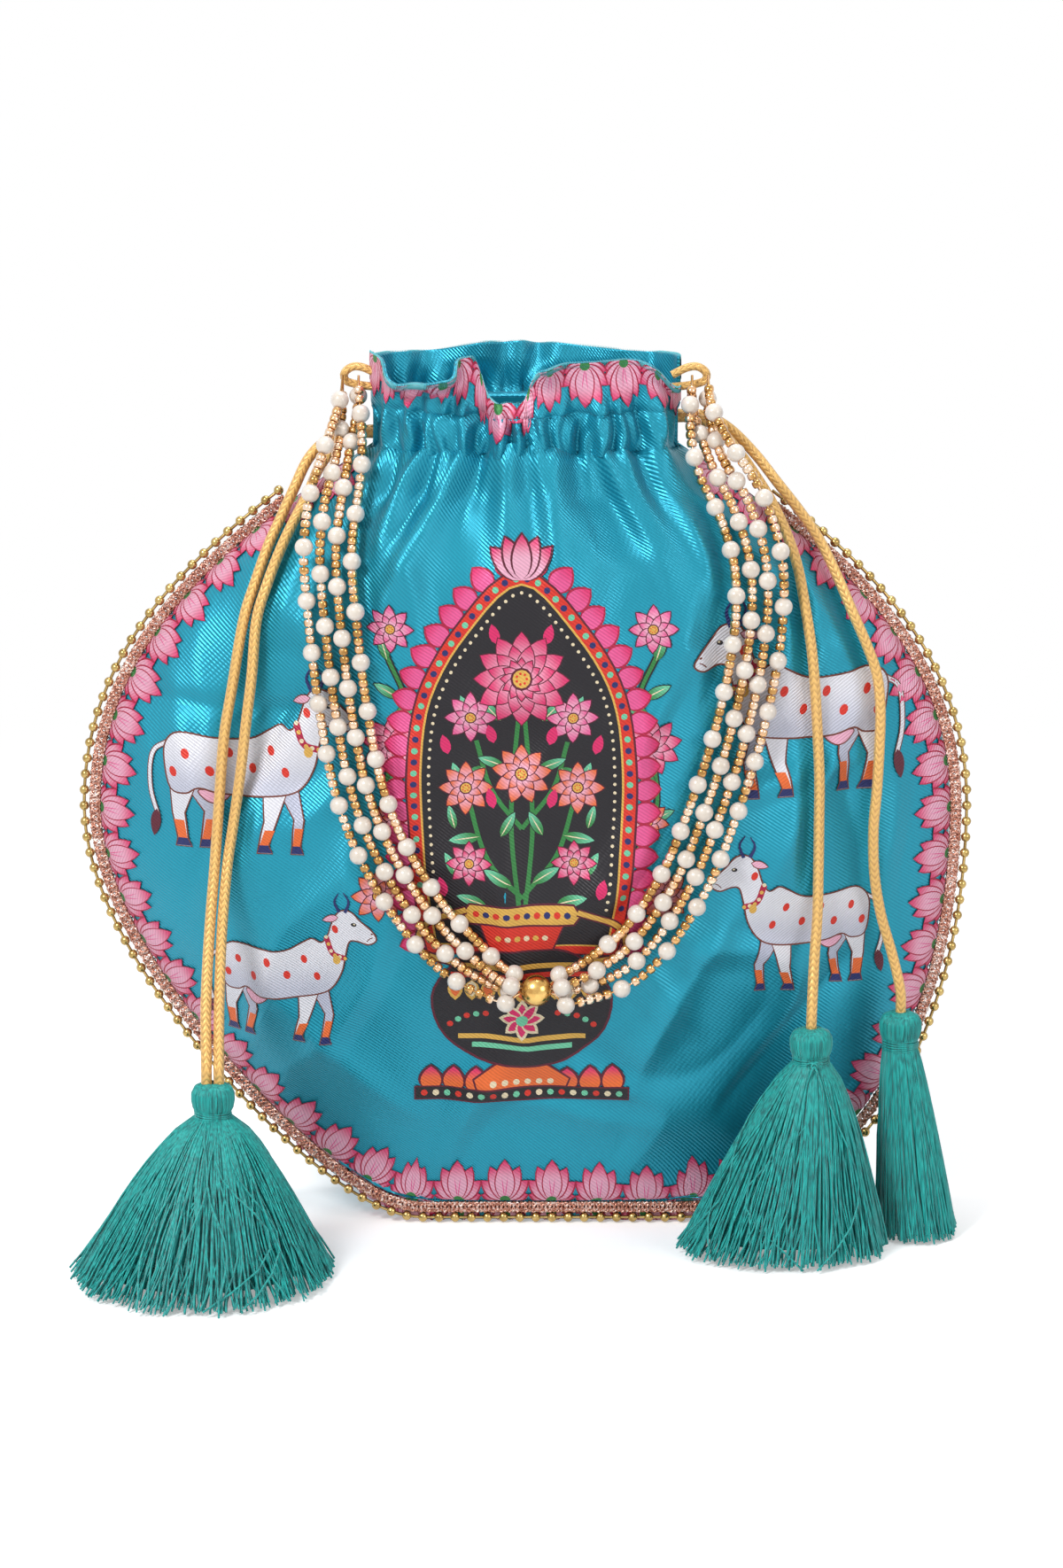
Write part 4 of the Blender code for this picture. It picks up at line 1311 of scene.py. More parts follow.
@dataclass(frozen=True)
class Prints:
    """The printed figures of the pouch, all of traditional kinds."""

    inks: Inks = Inks()

    def lotus(self, size: float = 12.0, detail: bool = True) -> Motif:
        """A half lotus that rises from the line y = 0."""
        ink, made = self.inks, Motif(2.2)
        petals = ((74, 0.55, 0.28), (-74, 0.55, 0.28), (47, 0.74, 0.34), (-47, 0.74, 0.34),
                  (22, 0.9, 0.36), (-22, 0.9, 0.36), (0, 1.0, 0.44))
        for turn, long, wide in petals:
            length, width = size * long, size * wide
            made.shape(petal(0, -0.5, turn, length + 0.5, width + 0.7), ink.crimson)
            made.shape(petal(0, -0.3, turn, length, width), shaded(0, 0, turn, length, ink.pale, ink.hot))
            if detail:
                for lean in (-7, 7):
                    made.shape(petal(0, 0, turn + lean, length * 0.6, 0.3, 3), ink.pink)
        made.shape(ellipse(0, -0.2, size * 0.13, size * 0.12, count=12), ink.leaf)
        return made

    def flower(
        self, made: Motif, x: float, y: float, size: float, count: int, rings: int, tip: Colour
    ) -> None:
        """A round many-petalled flower."""
        ink = self.inks
        for ring in range(rings):
            scale = 1 - ring / (rings + 0.6)
            for k in range(count):
                turn = 360 * (k + 0.5 * (ring % 2)) / count
                length = size * scale
                made.shape(petal(x, y, turn, length + 0.4, length * 0.5 + 0.5), ink.maroon)
                tint = shaded(x, y, turn, length, ink.pale, tip, 0.3)
                made.shape(petal(x, y, turn, length, length * 0.5), tint)
        made.shape(ellipse(x, y, size * 0.24, size * 0.24), ink.maroon)
        made.shape(ellipse(x, y, size * 0.19, size * 0.19), ink.gold)
        for k in range(7):
            a = math.tau * k / 7
            px, py = x + size * 0.11 * math.cos(a), y + size * 0.11 * math.sin(a)
            made.shape(ellipse(px, py, size * 0.03, size * 0.03, count=6), ink.vermilion)

    def leaf(self, made: Motif, x: float, y: float, turn: float, length: float) -> None:
        """A pointed leaf with its midrib."""
        ink = self.inks
        made.shape(petal(x, y, turn, length + 0.4, length * 0.36 + 0.5), ink.black)
        tint = shaded(x, y, turn, length, ink.leaf, ink.mint, 0.1)
        made.shape(petal(x, y, turn, length, length * 0.36), tint)
        made.shape(petal(x, y, turn, length * 0.85, 0.35, 4), ink.cream)

    def dots(self, made: Motif, line: Outline, pitch: float, size: float, *colours: Colour) -> None:
        """Dots of alternating colours along a line."""
        path = Line([Vector((x, y, 0.0)) for x, y in line])
        count = max(1, round(path.length / pitch))
        for k in range(count):
            spot = path.at(path.length * (k + 0.5) / count)
            made.shape(ellipse(spot.x, spot.y, size, size, count=8), colours[k % len(colours)])

    def fringe(self, made: Motif, line: Outline, pitch: float, length: float) -> None:
        """Pink petals that point outward from a line that runs from right to left."""
        ink = self.inks
        path = Line([Vector((x, y, 0.0)) for x, y in line])
        count = max(1, round(path.length / pitch))
        for k in range(count):
            d = path.length * (k + 0.5) / count
            spot, ahead = path.at(d), path.tangent(d)
            turn = math.degrees(math.atan2(ahead.y, ahead.x)) - 180
            made.shape(petal(spot.x, spot.y, turn, length + 0.5, pitch * 1.1), ink.crimson)
            tint = shaded(spot.x, spot.y, turn, length, ink.pink, ink.hot)
            made.shape(petal(spot.x, spot.y, turn, length, pitch * 0.9), tint)

    def spray(self, made: Motif, side: int) -> None:
        """The stems, leaves and small flowers on one side of the urn."""
        ink = self.inks
        for stem in (
            ((side * 8, 56), (side * 26, 66), (side * 38, 84), (side * 37, 104)),
            ((side * 26, 66), (side * 38, 66), (side * 43, 58)),
            ((side * 37, 98), (side * 33, 116), (side * 38, 130)),
        ):
            line = curve_line(stem)
            made.stroke(line, 2.0, ink.black)
            made.stroke(line, 1.1, ink.leaf)
        for x, y, turn, length in (
            (24, 63, -150, 10), (31, 72, 20, 9), (36, 82, -70, 8), (38, 92, 40, 9), (36, 113, 60, 9),
            (35, 118, -60, 8), (38, 129, -15, 8), (39, 66, -160, 9), (31, 68, -170, 8),
        ):
            self.leaf(made, side * x, y, side * turn, length)
        self.flower(made, side * 37, 104, 8.6, 9, 2, ink.hot)
        self.flower(made, side * 41, 60, 7.4, 8, 2, ink.orange)
        self.flower(made, side * 37, 138, 6.6, 8, 2, ink.pink)
        self.flower(made, side * 36, 82, 6.0, 7, 2, ink.orange)

    def urn(self) -> Motif:
        """A flowering urn in a pointed niche, 96 mm wide and 168 mm tall, with y = 0 at its foot."""
        ink, made = self.inks, Motif(2.0)
        for side in (-1, 1):
            self.spray(made, side)
        arch = [(24, 46), (27, 70), (28, 96), (25, 118), (15, 136), (0, 150)]
        line = curve_line(arch + [(-x, y) for x, y in arch[-2::-1]])
        niche = [tuple(p) for p in line]
        self.fringe(made, [p for p in grown(niche, 3.4)], 6.4, 8.0)
        for by, colour in ((5.0, ink.maroon), (4.4, ink.vermilion), (1.2, ink.gold), (0.6, ink.black)):
            made.shape(grown(niche, by), colour)
        self.dots(made, grown(niche, 2.8)[2:-2], 3.3, 0.95, ink.navy, ink.mint)
        self.dots(made, grown(niche, -1.4)[2:-2], 2.6, 0.5, ink.cream)
        for side in (-1, 1):
            for stem in (
                ((0, 50), (side * 3, 78), (side * 2, 100), (0, 122)),
                ((0, 60), (side * 10, 72), (side * 15, 88)),
                ((0, 80), (side * 9, 92), (side * 13, 106)),
            ):
                made.stroke(curve_line(stem), 1.3, ink.leaf)
            for x, y, turn, length in (
                (3, 64, -60, 9), (6, 78, 30, 8), (12, 78, -100, 9), (17, 92, -20, 8), (5, 98, -70, 8),
                (11, 98, -120, 8),
                (14, 112, -25, 8), (6, 112, -40, 8), (10, 58, -75, 9), (18, 66, -30, 8), (19, 80, -15, 7),
            ):
                self.leaf(made, side * x, y, side * turn, length)
            self.flower(made, side * 16, 92, 7.6, 8, 2, ink.orange)
            self.flower(made, side * 14.5, 113, 7.2, 8, 2, ink.pink)
            self.flower(made, side * 15, 70, 6.4, 8, 2, ink.hot)
            for x, y in ((8, 86), (8, 105), (21, 102), (22, 60), (7, 134)):
                made.shape(petal(side * x, y, -side * 15, 6.0, 3.0), ink.hot)
        self.flower(made, 0, 124, 13.5, 12, 3, ink.hot)
        self.flower(made, 0, 96, 8.5, 9, 2, ink.orange)
        for turn in (-44, 44, -22, 22, 0):
            made.shape(petal(0, 152, turn, 13.0, 6.4), ink.maroon)
            made.shape(petal(0, 152, turn, 12.2, 5.2), shaded(0, 152, turn, 12.2, ink.pale, ink.hot))
        self.vessel(made)
        return made

    def vessel(self, made: Motif) -> None:
        """The urn itself, on its scalloped base."""
        ink = self.inks
        lip = [(-15, 52), (15, 52), (17, 55), (15, 58), (-15, 58), (-17, 55)]
        neck = [(-9, 44), (9, 44), (12, 52), (-12, 52)]
        curve = [(10, 44), (20, 39), (26, 29), (22, 16), (9, 8)]
        bowl = rounded([(-x, y) for x, y in curve] + curve[::-1])
        foot = [(-13, 0), (13, 0), (14, 3), (7, 8), (-7, 8), (-14, 3)]
        for k in range(-4, 5):
            made.shape(petal(k * 6.6, -1.5, 0, 8.6, 7.4), ink.maroon)
            made.shape(petal(k * 6.6, -1.5, 0, 7.8, 6.0), shaded(k * 6.6, -1.5, 0, 7.8, ink.orange, ink.hot))
        made.outlined([(-31, -4), (31, -4), (31, 0), (-31, 0)], ink.black, ink.maroon, 0.6)
        self.dots(made, [(-30, -2), (30, -2)], 3.4, 1.0, ink.vermilion, ink.cream, ink.mint)
        parts = ((foot, ink.orange), (bowl, ink.black), (neck, ink.vermilion), (lip, ink.gold))
        for outline, colour in parts:
            made.outlined(outline, colour, ink.maroon, 0.7)
        for y, half, colour in (
            (39.0, 17.5, ink.gold), (36.2, 20.5, ink.vermilion),
            (16.2, 18.5, ink.gold), (13.4, 14.5, ink.mint),
        ):
            made.shape([(-half, y - 0.8), (half, y - 0.8), (half, y + 0.8), (-half, y + 0.8)], colour)
        for k in range(-4, 5):
            made.shape(petal(k * 4.8, 34.6, 180, 6.5, 4.4), ink.gold)
            made.shape(petal(k * 4.8, 34.4, 180, 5.2, 3.0), ink.cream if k % 2 else ink.orange)
        for k in range(8):
            made.shape(petal(0, 22.6, 45 * k, 6.6, 3.6), ink.cream)
            made.shape(petal(0, 22.6, 45 * k, 5.4, 2.4), ink.hot)
        made.shape(ellipse(0, 22.6, 1.7, 1.7, count=10), ink.mint)
        self.dots(made, [(-14.5, 55), (14.5, 55)], 2.9, 1.0, ink.vermilion, ink.navy)
        self.dots(made, [(-8, 48), (8, 48)], 2.6, 0.9, ink.gold, ink.cream)
        for side in (-1, 1):
            swag = curve_line([(side * 9, 24), (side * 16, 23), (side * 22, 19.5)])
            self.dots(made, swag, 2.6, 0.95, ink.vermilion, ink.mint)
            handle = curve_line([(side * 20, 40), (side * 29, 43), (side * 28, 51), (side * 16, 56)])
            made.stroke(handle, 2.6, ink.maroon)
            made.stroke(handle, 1.6, ink.gold)
        self.dots(made, [(-10, 1.8), (10, 1.8)], 3.6, 1.0, ink.cream)

    def cow(self) -> Motif:
        """A calm white cow with red spots, about 58 mm long, facing +x with its hooves at y = 0."""
        ink, made = self.inks, Motif(2.0)
        legs = (
            ((15, 20), (19, 11), (18, 0), 2.2), ((-12, 20), (-9, 12), (-11, 0), 2.4),
            ((11, 20), (10, 10), (8, 0), 2.6), ((-17, 20), (-19, 11), (-18, 0), 2.8),
        )
        tail = curve_line([(-22, 33), (-27, 29), (-28, 18), (-26, 9)])
        made.stroke(tail, 1.7, ink.brown)
        made.stroke(tail, 1.1, ink.milk)
        made.shape(petal(-26.3, 11, 172, 9, 3.4), ink.maroon)
        for number, (hip, knee, hoof, wide) in enumerate(legs):
            tone = ink.shade if number < 2 else ink.milk
            leg = [
                (hip[0] - wide * 1.5, hip[1]), (knee[0] - wide * 0.75, knee[1]), (hoof[0] - wide * 0.6, 2.5),
                (hoof[0] - wide * 0.8, 0), (hoof[0] + wide, 0), (hoof[0] + wide * 0.6, 2.5),
                (knee[0] + wide * 0.75, knee[1]), (hip[0] + wide * 1.5, hip[1]),
            ]
            made.outlined(leg, tone, ink.brown, 0.5)
            shin = [(knee[0] - wide * 0.6, knee[1] - 2.5), (hoof[0] - wide * 0.5, 2.6),
                    (hoof[0] + wide * 0.5, 2.6), (knee[0] + wide * 0.6, knee[1] - 2.5)]
            made.shape(shin, ink.orange)
            made.shape([
                (hoof[0] - wide * 0.75, 0.2), (hoof[0] + wide * 0.95, 0.2),
                (hoof[0] + wide * 0.5, 2.7), (hoof[0] - wide * 0.5, 2.7),
            ], ink.navy)
        body = rounded([
            (-23, 27), (-22.5, 33), (-18, 36.5), (-8, 35.5), (2, 35.5), (8, 38.5), (12, 40.5), (15.5, 39),
            (18, 42), (20, 48), (23, 52.5), (27.5, 52.5), (31, 49), (35.5, 44.5), (36.5, 41.5), (33.5, 39.8),
            (29.5, 41), (26.5, 40.5), (25, 35), (23.5, 28), (20, 21.5), (15, 18.5), (5, 17.5), (-6, 17.8),
            (-12, 19.5), (-16, 17.5), (-21, 18.5),
        ])
        udder = rounded([(-12, 19), (-10, 15.5), (-6.5, 14.8), (-3.5, 18)])
        made.outlined(udder, ink.pale, ink.brown, 0.4)

        def hide(_: float, y: float) -> Colour:
            """White above, and greyer below."""
            share = 1 - smooth(18, 34, y)
            return tuple(mix(a, b, 0.8 * share) for a, b in zip(ink.milk, ink.shade))

        made.outlined(body, hide, ink.brown, 0.55)
        for horn in ([(25, 52), (26.5, 56.5), (24.5, 60)], [(22.8, 52), (21, 56), (22.6, 59.5)]):
            made.stroke(curve_line(horn), 1.3, ink.navy, 0.7)
        made.outlined(petal(22.3, 50.0, 105, 6.2, 2.8), ink.pale, ink.brown, 0.35)
        made.shape(ellipse(28.3, 47.6, 1.1, 0.75), ink.black)
        made.shape(ellipse(28.5, 47.8, 0.4, 0.3, count=8), ink.cream)
        made.stroke(curve_line([(33.0, 41.0), (34.2, 42.2), (35.2, 42.6)]), 0.35, ink.brown)
        made.shape(ellipse(34.9, 44.0, 0.5, 0.35, count=8), ink.brown)
        garland = curve_line([(17.5, 41.5), (20, 35), (24.8, 33.5)])
        made.stroke(garland, 2.2, ink.crimson)
        for k in range(6):
            t = k / 5 * (len(garland) - 1)
            x, y = garland[int(t)]
            made.shape(ellipse(x, y, 0.75, 0.75, count=8), ink.gold if k % 2 else ink.cream)
        made.shape(ellipse(21.5, 32.5, 1.5, 1.8, count=10), ink.gold)
        for x, y in ((-16, 30), (-9, 25), (-4, 31), (3, 26), (9, 32), (14, 25.5), (21, 45), (-20, 24)):
            made.shape(ellipse(x, y, 1.2, 1.7, 20, 10), ink.vermilion)
        return made


@dataclass
class PrintedLayer:
    """The print of one panel: figures stamped on the finished cloth."""

    cloth: Cloth
    lift: float = 0.32
    stagger: float = 0.04

    def __post_init__(self) -> None:
        """Start an empty layer."""
        self.bm = bmesh.new()
        self.bm.loops.layers.float_color.new("ink")
        self.uv = self.bm.loops.layers.uv.new("weave")

    def stamp(self, figure: bpy.types.Mesh, place: Callable[[float, float], Vector], flip: bool) -> None:
        """Stamp a figure.

        Args:
            figure: flat mesh of a motif.
            place: gives the point on the cloth for a place of the figure.
            flip: whether the figure is mirrored on the cloth.
        """
        vert_start, face_start = len(self.bm.verts), len(self.bm.faces)
        self.bm.from_mesh(figure)
        self.bm.verts.ensure_lookup_table()
        self.bm.faces.ensure_lookup_table()
        fresh = self.bm.faces[face_start:]
        for face in fresh:
            for loop in face.loops:
                loop[self.uv].uv = loop.vert.co.xy
        for vert in self.bm.verts[vert_start:]:
            vert.co = place(vert.co.x, vert.co.y)
        if flip:
            bmesh.ops.reverse_faces(self.bm, faces=fresh)

    def figure(
        self, motif: bpy.types.Mesh, x: float, z: float, scale: float = 1.0, mirrored: bool = False
    ) -> None:
        """Stamp a figure at a place of the panel, as seen from the front."""
        sign = -1 if mirrored else 1

        def place(u: float, v: float) -> Vector:
            """A point of the figure on the cloth."""
            return self.cloth.seen_from_front(x + sign * u * scale, z + v * scale, self.lift)

        self.stamp(motif, place, mirrored)

    def inward(self, seam: Line, along: float) -> Vector:
        """Direction across the border, away from the seam."""
        ahead = seam.tangent(along, 2.0)
        return Vector((-ahead.z, 0.0, ahead.x))

    def depths(self, seam: Line) -> list[list[float]]:
        """Distances along the cloth at each millimetre in from the seam, every 4 mm of the seam."""
        form = self.cloth.form
        tables = []
        for k in range(int(seam.length / 4) + 2):
            here, inward = seam.at(4 * k), self.inward(seam, 4 * k)
            spots = []
            for i in range(18):
                spot = here + inward * i
                across = spot.x / form.seam_x(-1 if spot.x < 0 else 1, round(spot.z, 3))
                across = min(0.9999, max(-0.9999, across))
                spots.append(self.cloth.inner_point(across, max(spot.z, form.seam_bottom_z + 0.1)))
            table = [0.0]
            for a, b in zip(spots, spots[1:]):
                table.append(table[-1] + (b - a).length)
            tables.append(table)
        return tables

    def seam_border(self, motif: bpy.types.Mesh, pitch: float) -> None:
        """Stamp a row of figures along the side and bottom seam."""
        form = self.cloth.form
        points = []
        for side in (-1, 1):
            hip, shoulder = form.seam_curves(side)
            half = [bezier(curve, i / 40) for curve in (hip, shoulder) for i in range(41)]
            half = [Vector((side * x, 0.0, z)) for x, z in half if z <= form.neck_z - 3]
            points += half[::-1] if side < 0 else half
        seam = Line(points).evenly(1.0)
        count = round(seam.length / pitch)
        step = seam.length / count
        depths = self.depths(seam)
        for k in range(count):
            centre = step * (k + 0.5)
            lift = self.lift + self.stagger * (k % 2)

            def place(u: float, v: float, centre: float = centre, lift: float = lift) -> Vector:
                """A point of the border on the cloth."""
                along = centre + u
                here, inward = seam.at(along), self.inward(seam, along)
                table = depths[min(max(round(along / 4), 0), len(depths) - 1)]
                want = 1.12 * max(v + 0.6, 0.15)
                i = min(max(bisect_right(table, want) - 1, 0), len(table) - 2)
                spot = here + inward * (i + (want - table[i]) / max(1e-6, table[i + 1] - table[i]))
                return self.cloth.seen_from_front(spot.x, max(spot.z, form.seam_bottom_z + 0.1), lift)

            self.stamp(motif, place, self.cloth.facing is Facing.BACK)

    def frill_border(self, motif: bpy.types.Mesh, pitch: float) -> None:
        """Stamp a row of figures that hangs from the frill's free edge."""
        cloth, form = self.cloth, self.cloth.form
        top = Line(cloth.grid[-1])
        count = round(top.length / pitch)
        step = top.length / count
        for k in range(count):
            centre = step * (k + 0.5)
            lift = self.lift + self.stagger * (k % 2)

            def place(u: float, v: float, centre: float = centre, lift: float = lift) -> Vector:
                """A point of the hanging border on the cloth."""
                along = min(max(centre - u, 0.0), top.length)
                i = min(max(bisect_right(top.along, along) - 1, 0), cloth.column_count - 1)
                share = (along - top.along[i]) / max(1e-6, top.along[i + 1] - top.along[i])
                across = mix(cloth.columns[i], cloth.columns[i + 1], share)
                tall = form.frill_top(across, cloth.facing) - form.channel_top
                down = max(0.0, v + 1.0)
                if down <= tall:
                    row = cloth.rows - cloth.frill_rows * down / tall
                else:
                    row = cloth.body_rows + cloth.neck_rows * (1 - (down - tall) / form.channel)
                return cloth.on_surface(across, row, lift)

            self.stamp(motif, place, self.cloth.facing is Facing.BACK)

    def build(self, name: str, finish: Finish) -> bpy.types.Object:
        """Make the printed layer as one piece."""
        layer = mesh_object(name, self.bm, [finish], 80)
        layer.data.attributes.active_color_name = "ink"
        ride(layer, Body.BAG, Slot.SATIN)
        log.info("%s: %d faces", name, len(layer.data.polygons))
        return layer


@dataclass(frozen=True)
class EdgeTrim:
    """Metallic braid along the seam, with a chain of small balls on its outer edge."""

    form: PouchForm
    gap: float = 0.3
    lace: float = 2.8
    ball: float = 1.4
    link: float = 0.45
    pitch: float = 4.6
    top_z: float = 205.0
    forward: float = 0.8
    yarn: float = 0.42
    yarn_step: float = 0.55
    wave: float = 1.45
    wave_pitch: float = 4.6
    straight: float = 0.9

    def path(self, outward: float) -> Line:
        """The seam from the left shoulder round the bottom to the right one, moved outward."""
        form = self.form
        line = []
        for side in (-1, 1):
            hip, shoulder = form.seam_curves(side)
            half = [bezier(curve, i / 24) for curve in (hip, shoulder) for i in range(25)]
            half = [Vector((side * x, 0.0, z)) for x, z in half if z <= self.top_z]
            line += half[::-1] if side < 0 else half
        seam = Line(line).evenly(2.0)
        moved = []
        for i, place in enumerate(seam.points):
            along = seam.points[min(i + 2, len(seam.points) - 1)] - seam.points[max(i - 2, 0)]
            out = Vector((along.z, 0.0, -along.x)).normalized()
            moved.append(place + outward * out + Vector((0.0, form.seam_y(place.z) - self.forward, 0.0)))
        return Line(moved)

    def braid(self, finish: Finish) -> bpy.types.Object:
        """Four waved yarns that cross each other, and two straight ones."""
        middle = self.path(self.form.cloth + self.gap + self.lace / 2)
        lines = []
        for k in range(6):
            points = []
            for i in range(int(middle.length / self.yarn_step) + 1):
                d = self.yarn_step * i
                phase = math.tau * d / self.wave_pitch + k * math.pi / 2
                out = middle.tangent(d, 2.0).cross(Vector((0.0, 1.0, 0.0)))
                straight = -self.straight if k == 4 else self.straight
                wave = self.wave * math.sin(phase) if k < 4 else straight
                deep = 0.32 * math.cos(2 * phase + k * math.pi) - 0.15 if k < 4 else 0.0
                points.append(middle.at(d) + out * wave + Vector((0.0, deep, 0.0)))
            lines.append(points)
        made = yarns("edge_braid", lines, self.yarn, finish)
        return ride(made, Body.BAG, Slot.LACE, "edge_lace")

    def balls(self, finish: Finish) -> bpy.types.Object:
        """Small balls on a linked chain."""
        line = self.path(self.form.cloth + 2 * self.gap + self.lace + self.ball)
        count = round(line.length / self.pitch)
        shape = bmesh.new()
        bmesh.ops.create_uvsphere(shape, u_segments=12, v_segments=8, radius=self.ball)
        bead = bpy.data.meshes.new("ball")
        shape.to_mesh(bead)
        shape.free()
        bm = bmesh.new()
        for k in range(count):
            start = len(bm.verts)
            bm.from_mesh(bead)
            bm.verts.ensure_lookup_table()
            centre = line.at(line.length * k / count)
            for vert in bm.verts[start:]:
                vert.co += centre
        made = mesh_object("edge_balls", bm, [finish])
        ride(made, Body.BAG, Slot.GOLD, "edge_ball_chain")
        link = yarns("edge_links", [line.evenly(2.3).points], self.link, finish)
        return ride(link, Body.BAG, Slot.GOLD)

    def build(self, yarn: Finish, gold: Finish) -> None:
        """Make the braid and the balls."""
        self.braid(yarn)
        self.balls(gold)
        log.info("edge trim made")


@dataclass(frozen=True)
class Tassel:
    """A thread tassel: sizes in millimetres."""

    name: str
    top: Point
    foot: Point
    spread: tuple[float, float]
    threads: int = 620
    seed: int = 1
    waist: float = 4.4
    head_height: float = 9.0
    knotted: bool = False
    thread: float = 0.3
    golden: float = 0.618034
    packed: float = 0.86
    cap_threads: int = 96
    cap_shape: tuple[tuple[float, float], ...] = (
        (0.0, 1.6), (0.03, 3.2), (0.12, 4.9), (0.3, 5.7), (0.5, 5.75), (0.72, 5.4), (0.9, 4.6), (1.0, 4.2),
    )
    turns: int = 6
    turn_radius: float = 4.95

    def centre(self, share: float) -> Vector:
        """Middle of the skirt at a share of its length."""
        top = Vector(self.top) - Vector((0.0, 0.0, self.head_height))
        return top.lerp(Vector(self.foot), share)

    def reach(self, share: float) -> tuple[float, float]:
        """Half width and half depth of the skirt at a share of its length."""
        flare = share**0.75
        return tuple(mix(self.waist, s, flare) for s in self.spread)

    def core(self, finish: Finish) -> bpy.types.Object:
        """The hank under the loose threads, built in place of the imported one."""
        bm = bmesh.new()
        bmesh.ops.create_circle(bm, segments=40, radius=1.0)
        verts, edges = list(bm.verts), list(bm.edges)
        top = Vector(self.top)
        rings = [(top - Vector((0, 0, 0.3)), (3.4, 3.4)), (top - Vector((0, 0, 2.0)), (5.2, 5.2)),
                 (top - Vector((0, 0, 5.8)), (5.3, 5.3)), (self.centre(0.0), (3.8, 3.8))]
        for share in (0.08, 0.2, 0.35, 0.5, 0.65, 0.8, 0.9):
            rings.append((self.centre(share), tuple(self.packed * r for r in self.reach(share))))
        for number, (middle, radii) in enumerate(rings):
            if number:
                verts, edges = extruded(bm, verts, edges)
            for i, vert in enumerate(verts):
                turn = math.tau * i / len(verts)
                vert.co = middle + around(*radii, turn)
        bmesh.ops.holes_fill(bm, edges=[e for e in bm.edges if e.is_boundary], sides=0)
        bmesh.ops.recalc_face_normals(bm, faces=bm.faces)
        return mesh_object(self.name + "_core", bm, [finish])

    def skirt(self, finish: Finish) -> bpy.types.Object:
        """Loose threads that fall from the binding and fan out."""
        rng = random.Random(self.seed)
        lines = []
        for k in range(self.threads):
            angle = math.tau * (k * self.golden % 1.0)
            shell = 1 - 0.16 * rng.random() ** 1.5
            sway, curl = rng.gauss(0, 0.05), rng.gauss(0, 0.035)
            last = 1 - 0.06 * rng.random() ** 2
            if rng.random() < 0.05:
                sway, curl, shell = sway * 4, curl * 4, shell * 1.05
            line = []
            for i in range(11):
                share = last * i / 10
                rx, ry = self.reach(share)
                bend = angle + sway * math.sin(math.pi * share) + curl * math.sin(2.4 * math.pi * share)
                size = shell * (1 + 0.03 * math.sin(9 * angle) * share)
                spot = self.centre(share) + around(rx * size, ry * size, bend)
                spot.z = max(spot.z, 0.35 + 0.5 * (k % 5))
                line.append(spot)
            lines.append(line)
        return yarns(self.name + "_skirt", lines, self.thread, finish)

    def cap(self, finish: Finish) -> bpy.types.Object:
        """Threads folded over the head, from the cord down to the binding."""
        rng = random.Random(self.seed + 7)
        lines = []
        for k in range(self.cap_threads):
            angle = math.tau * (k + rng.uniform(-0.3, 0.3)) / self.cap_threads
            line = []
            for share, radius in self.cap_shape:
                lean = angle + 0.12 * share * math.sin(5 * angle)
                down = Vector((0.0, 0.0, -self.head_height * share))
                line.append(Vector(self.top) + down + around(radius, radius, lean))
            lines.append(line)
        return yarns(self.name + "_cap", lines, 0.27, finish)

    def binding(self, finish: Finish) -> bpy.types.Object:
        """Turns of thread round the waist, with a knot where the real one has it."""
        rng = random.Random(self.seed + 3)
        waist = self.centre(0.0)
        lines = []
        for turn in range(self.turns):
            tilt, rise = rng.uniform(-0.08, 0.08), mix(-1.3, 1.5, turn / (self.turns - 1))
            ring = []
            for i in range(29):
                angle = math.tau * i / 28
                radius = self.turn_radius + 0.12 * math.sin(3 * angle + turn)
                offset = around(radius, radius, angle, rise + tilt * radius * math.cos(angle))
                ring.append(waist + offset)
            lines.append(ring)
        if self.knotted:
            front = waist + Vector((0.6, -5.6, 0.0))
            knot = [
                (-2.2, 0.2, 0.3), (-0.8, -0.6, 0.9), (0.6, -0.7, 0.5), (0.8, -0.3, -0.5), (-0.4, -0.6, -0.7),
                (-0.7, -0.9, 0.4), (0.5, -0.6, 1.0), (2.3, 0.1, 0.4),
            ]
            ends = [(0.0, -0.6, 0.0), (1.2, -1.2, -2.5), (2.6, -2.4, -8.0), (2.0, -4.0, -15.0)]
            for route in (knot, [(-x, y, z) for x, y, z in ends], ends):
                lines.append(smooth_line([front + Vector(spot) for spot in route], 5))
        return yarns(self.name + "_wraps", lines, self.thread, finish)

    def build(self, finish: Finish) -> list[bpy.types.Object]:
        """Make the tassel.

        Returns:
            Its pieces, the hank's core first.
        """
        core = ride(self.core(finish), Body.BAG, Slot.THREAD, self.name + "_hank")
        pieces = [core]
        for piece in (self.skirt(finish), self.cap(finish)):
            pieces.append(ride(piece, Body.BAG, Slot.THREAD))
        pieces.append(ride(self.binding(finish), Body.BAG, Slot.THREAD, self.name + "_binding"))
        log.info("%s made", self.name)
        return pieces


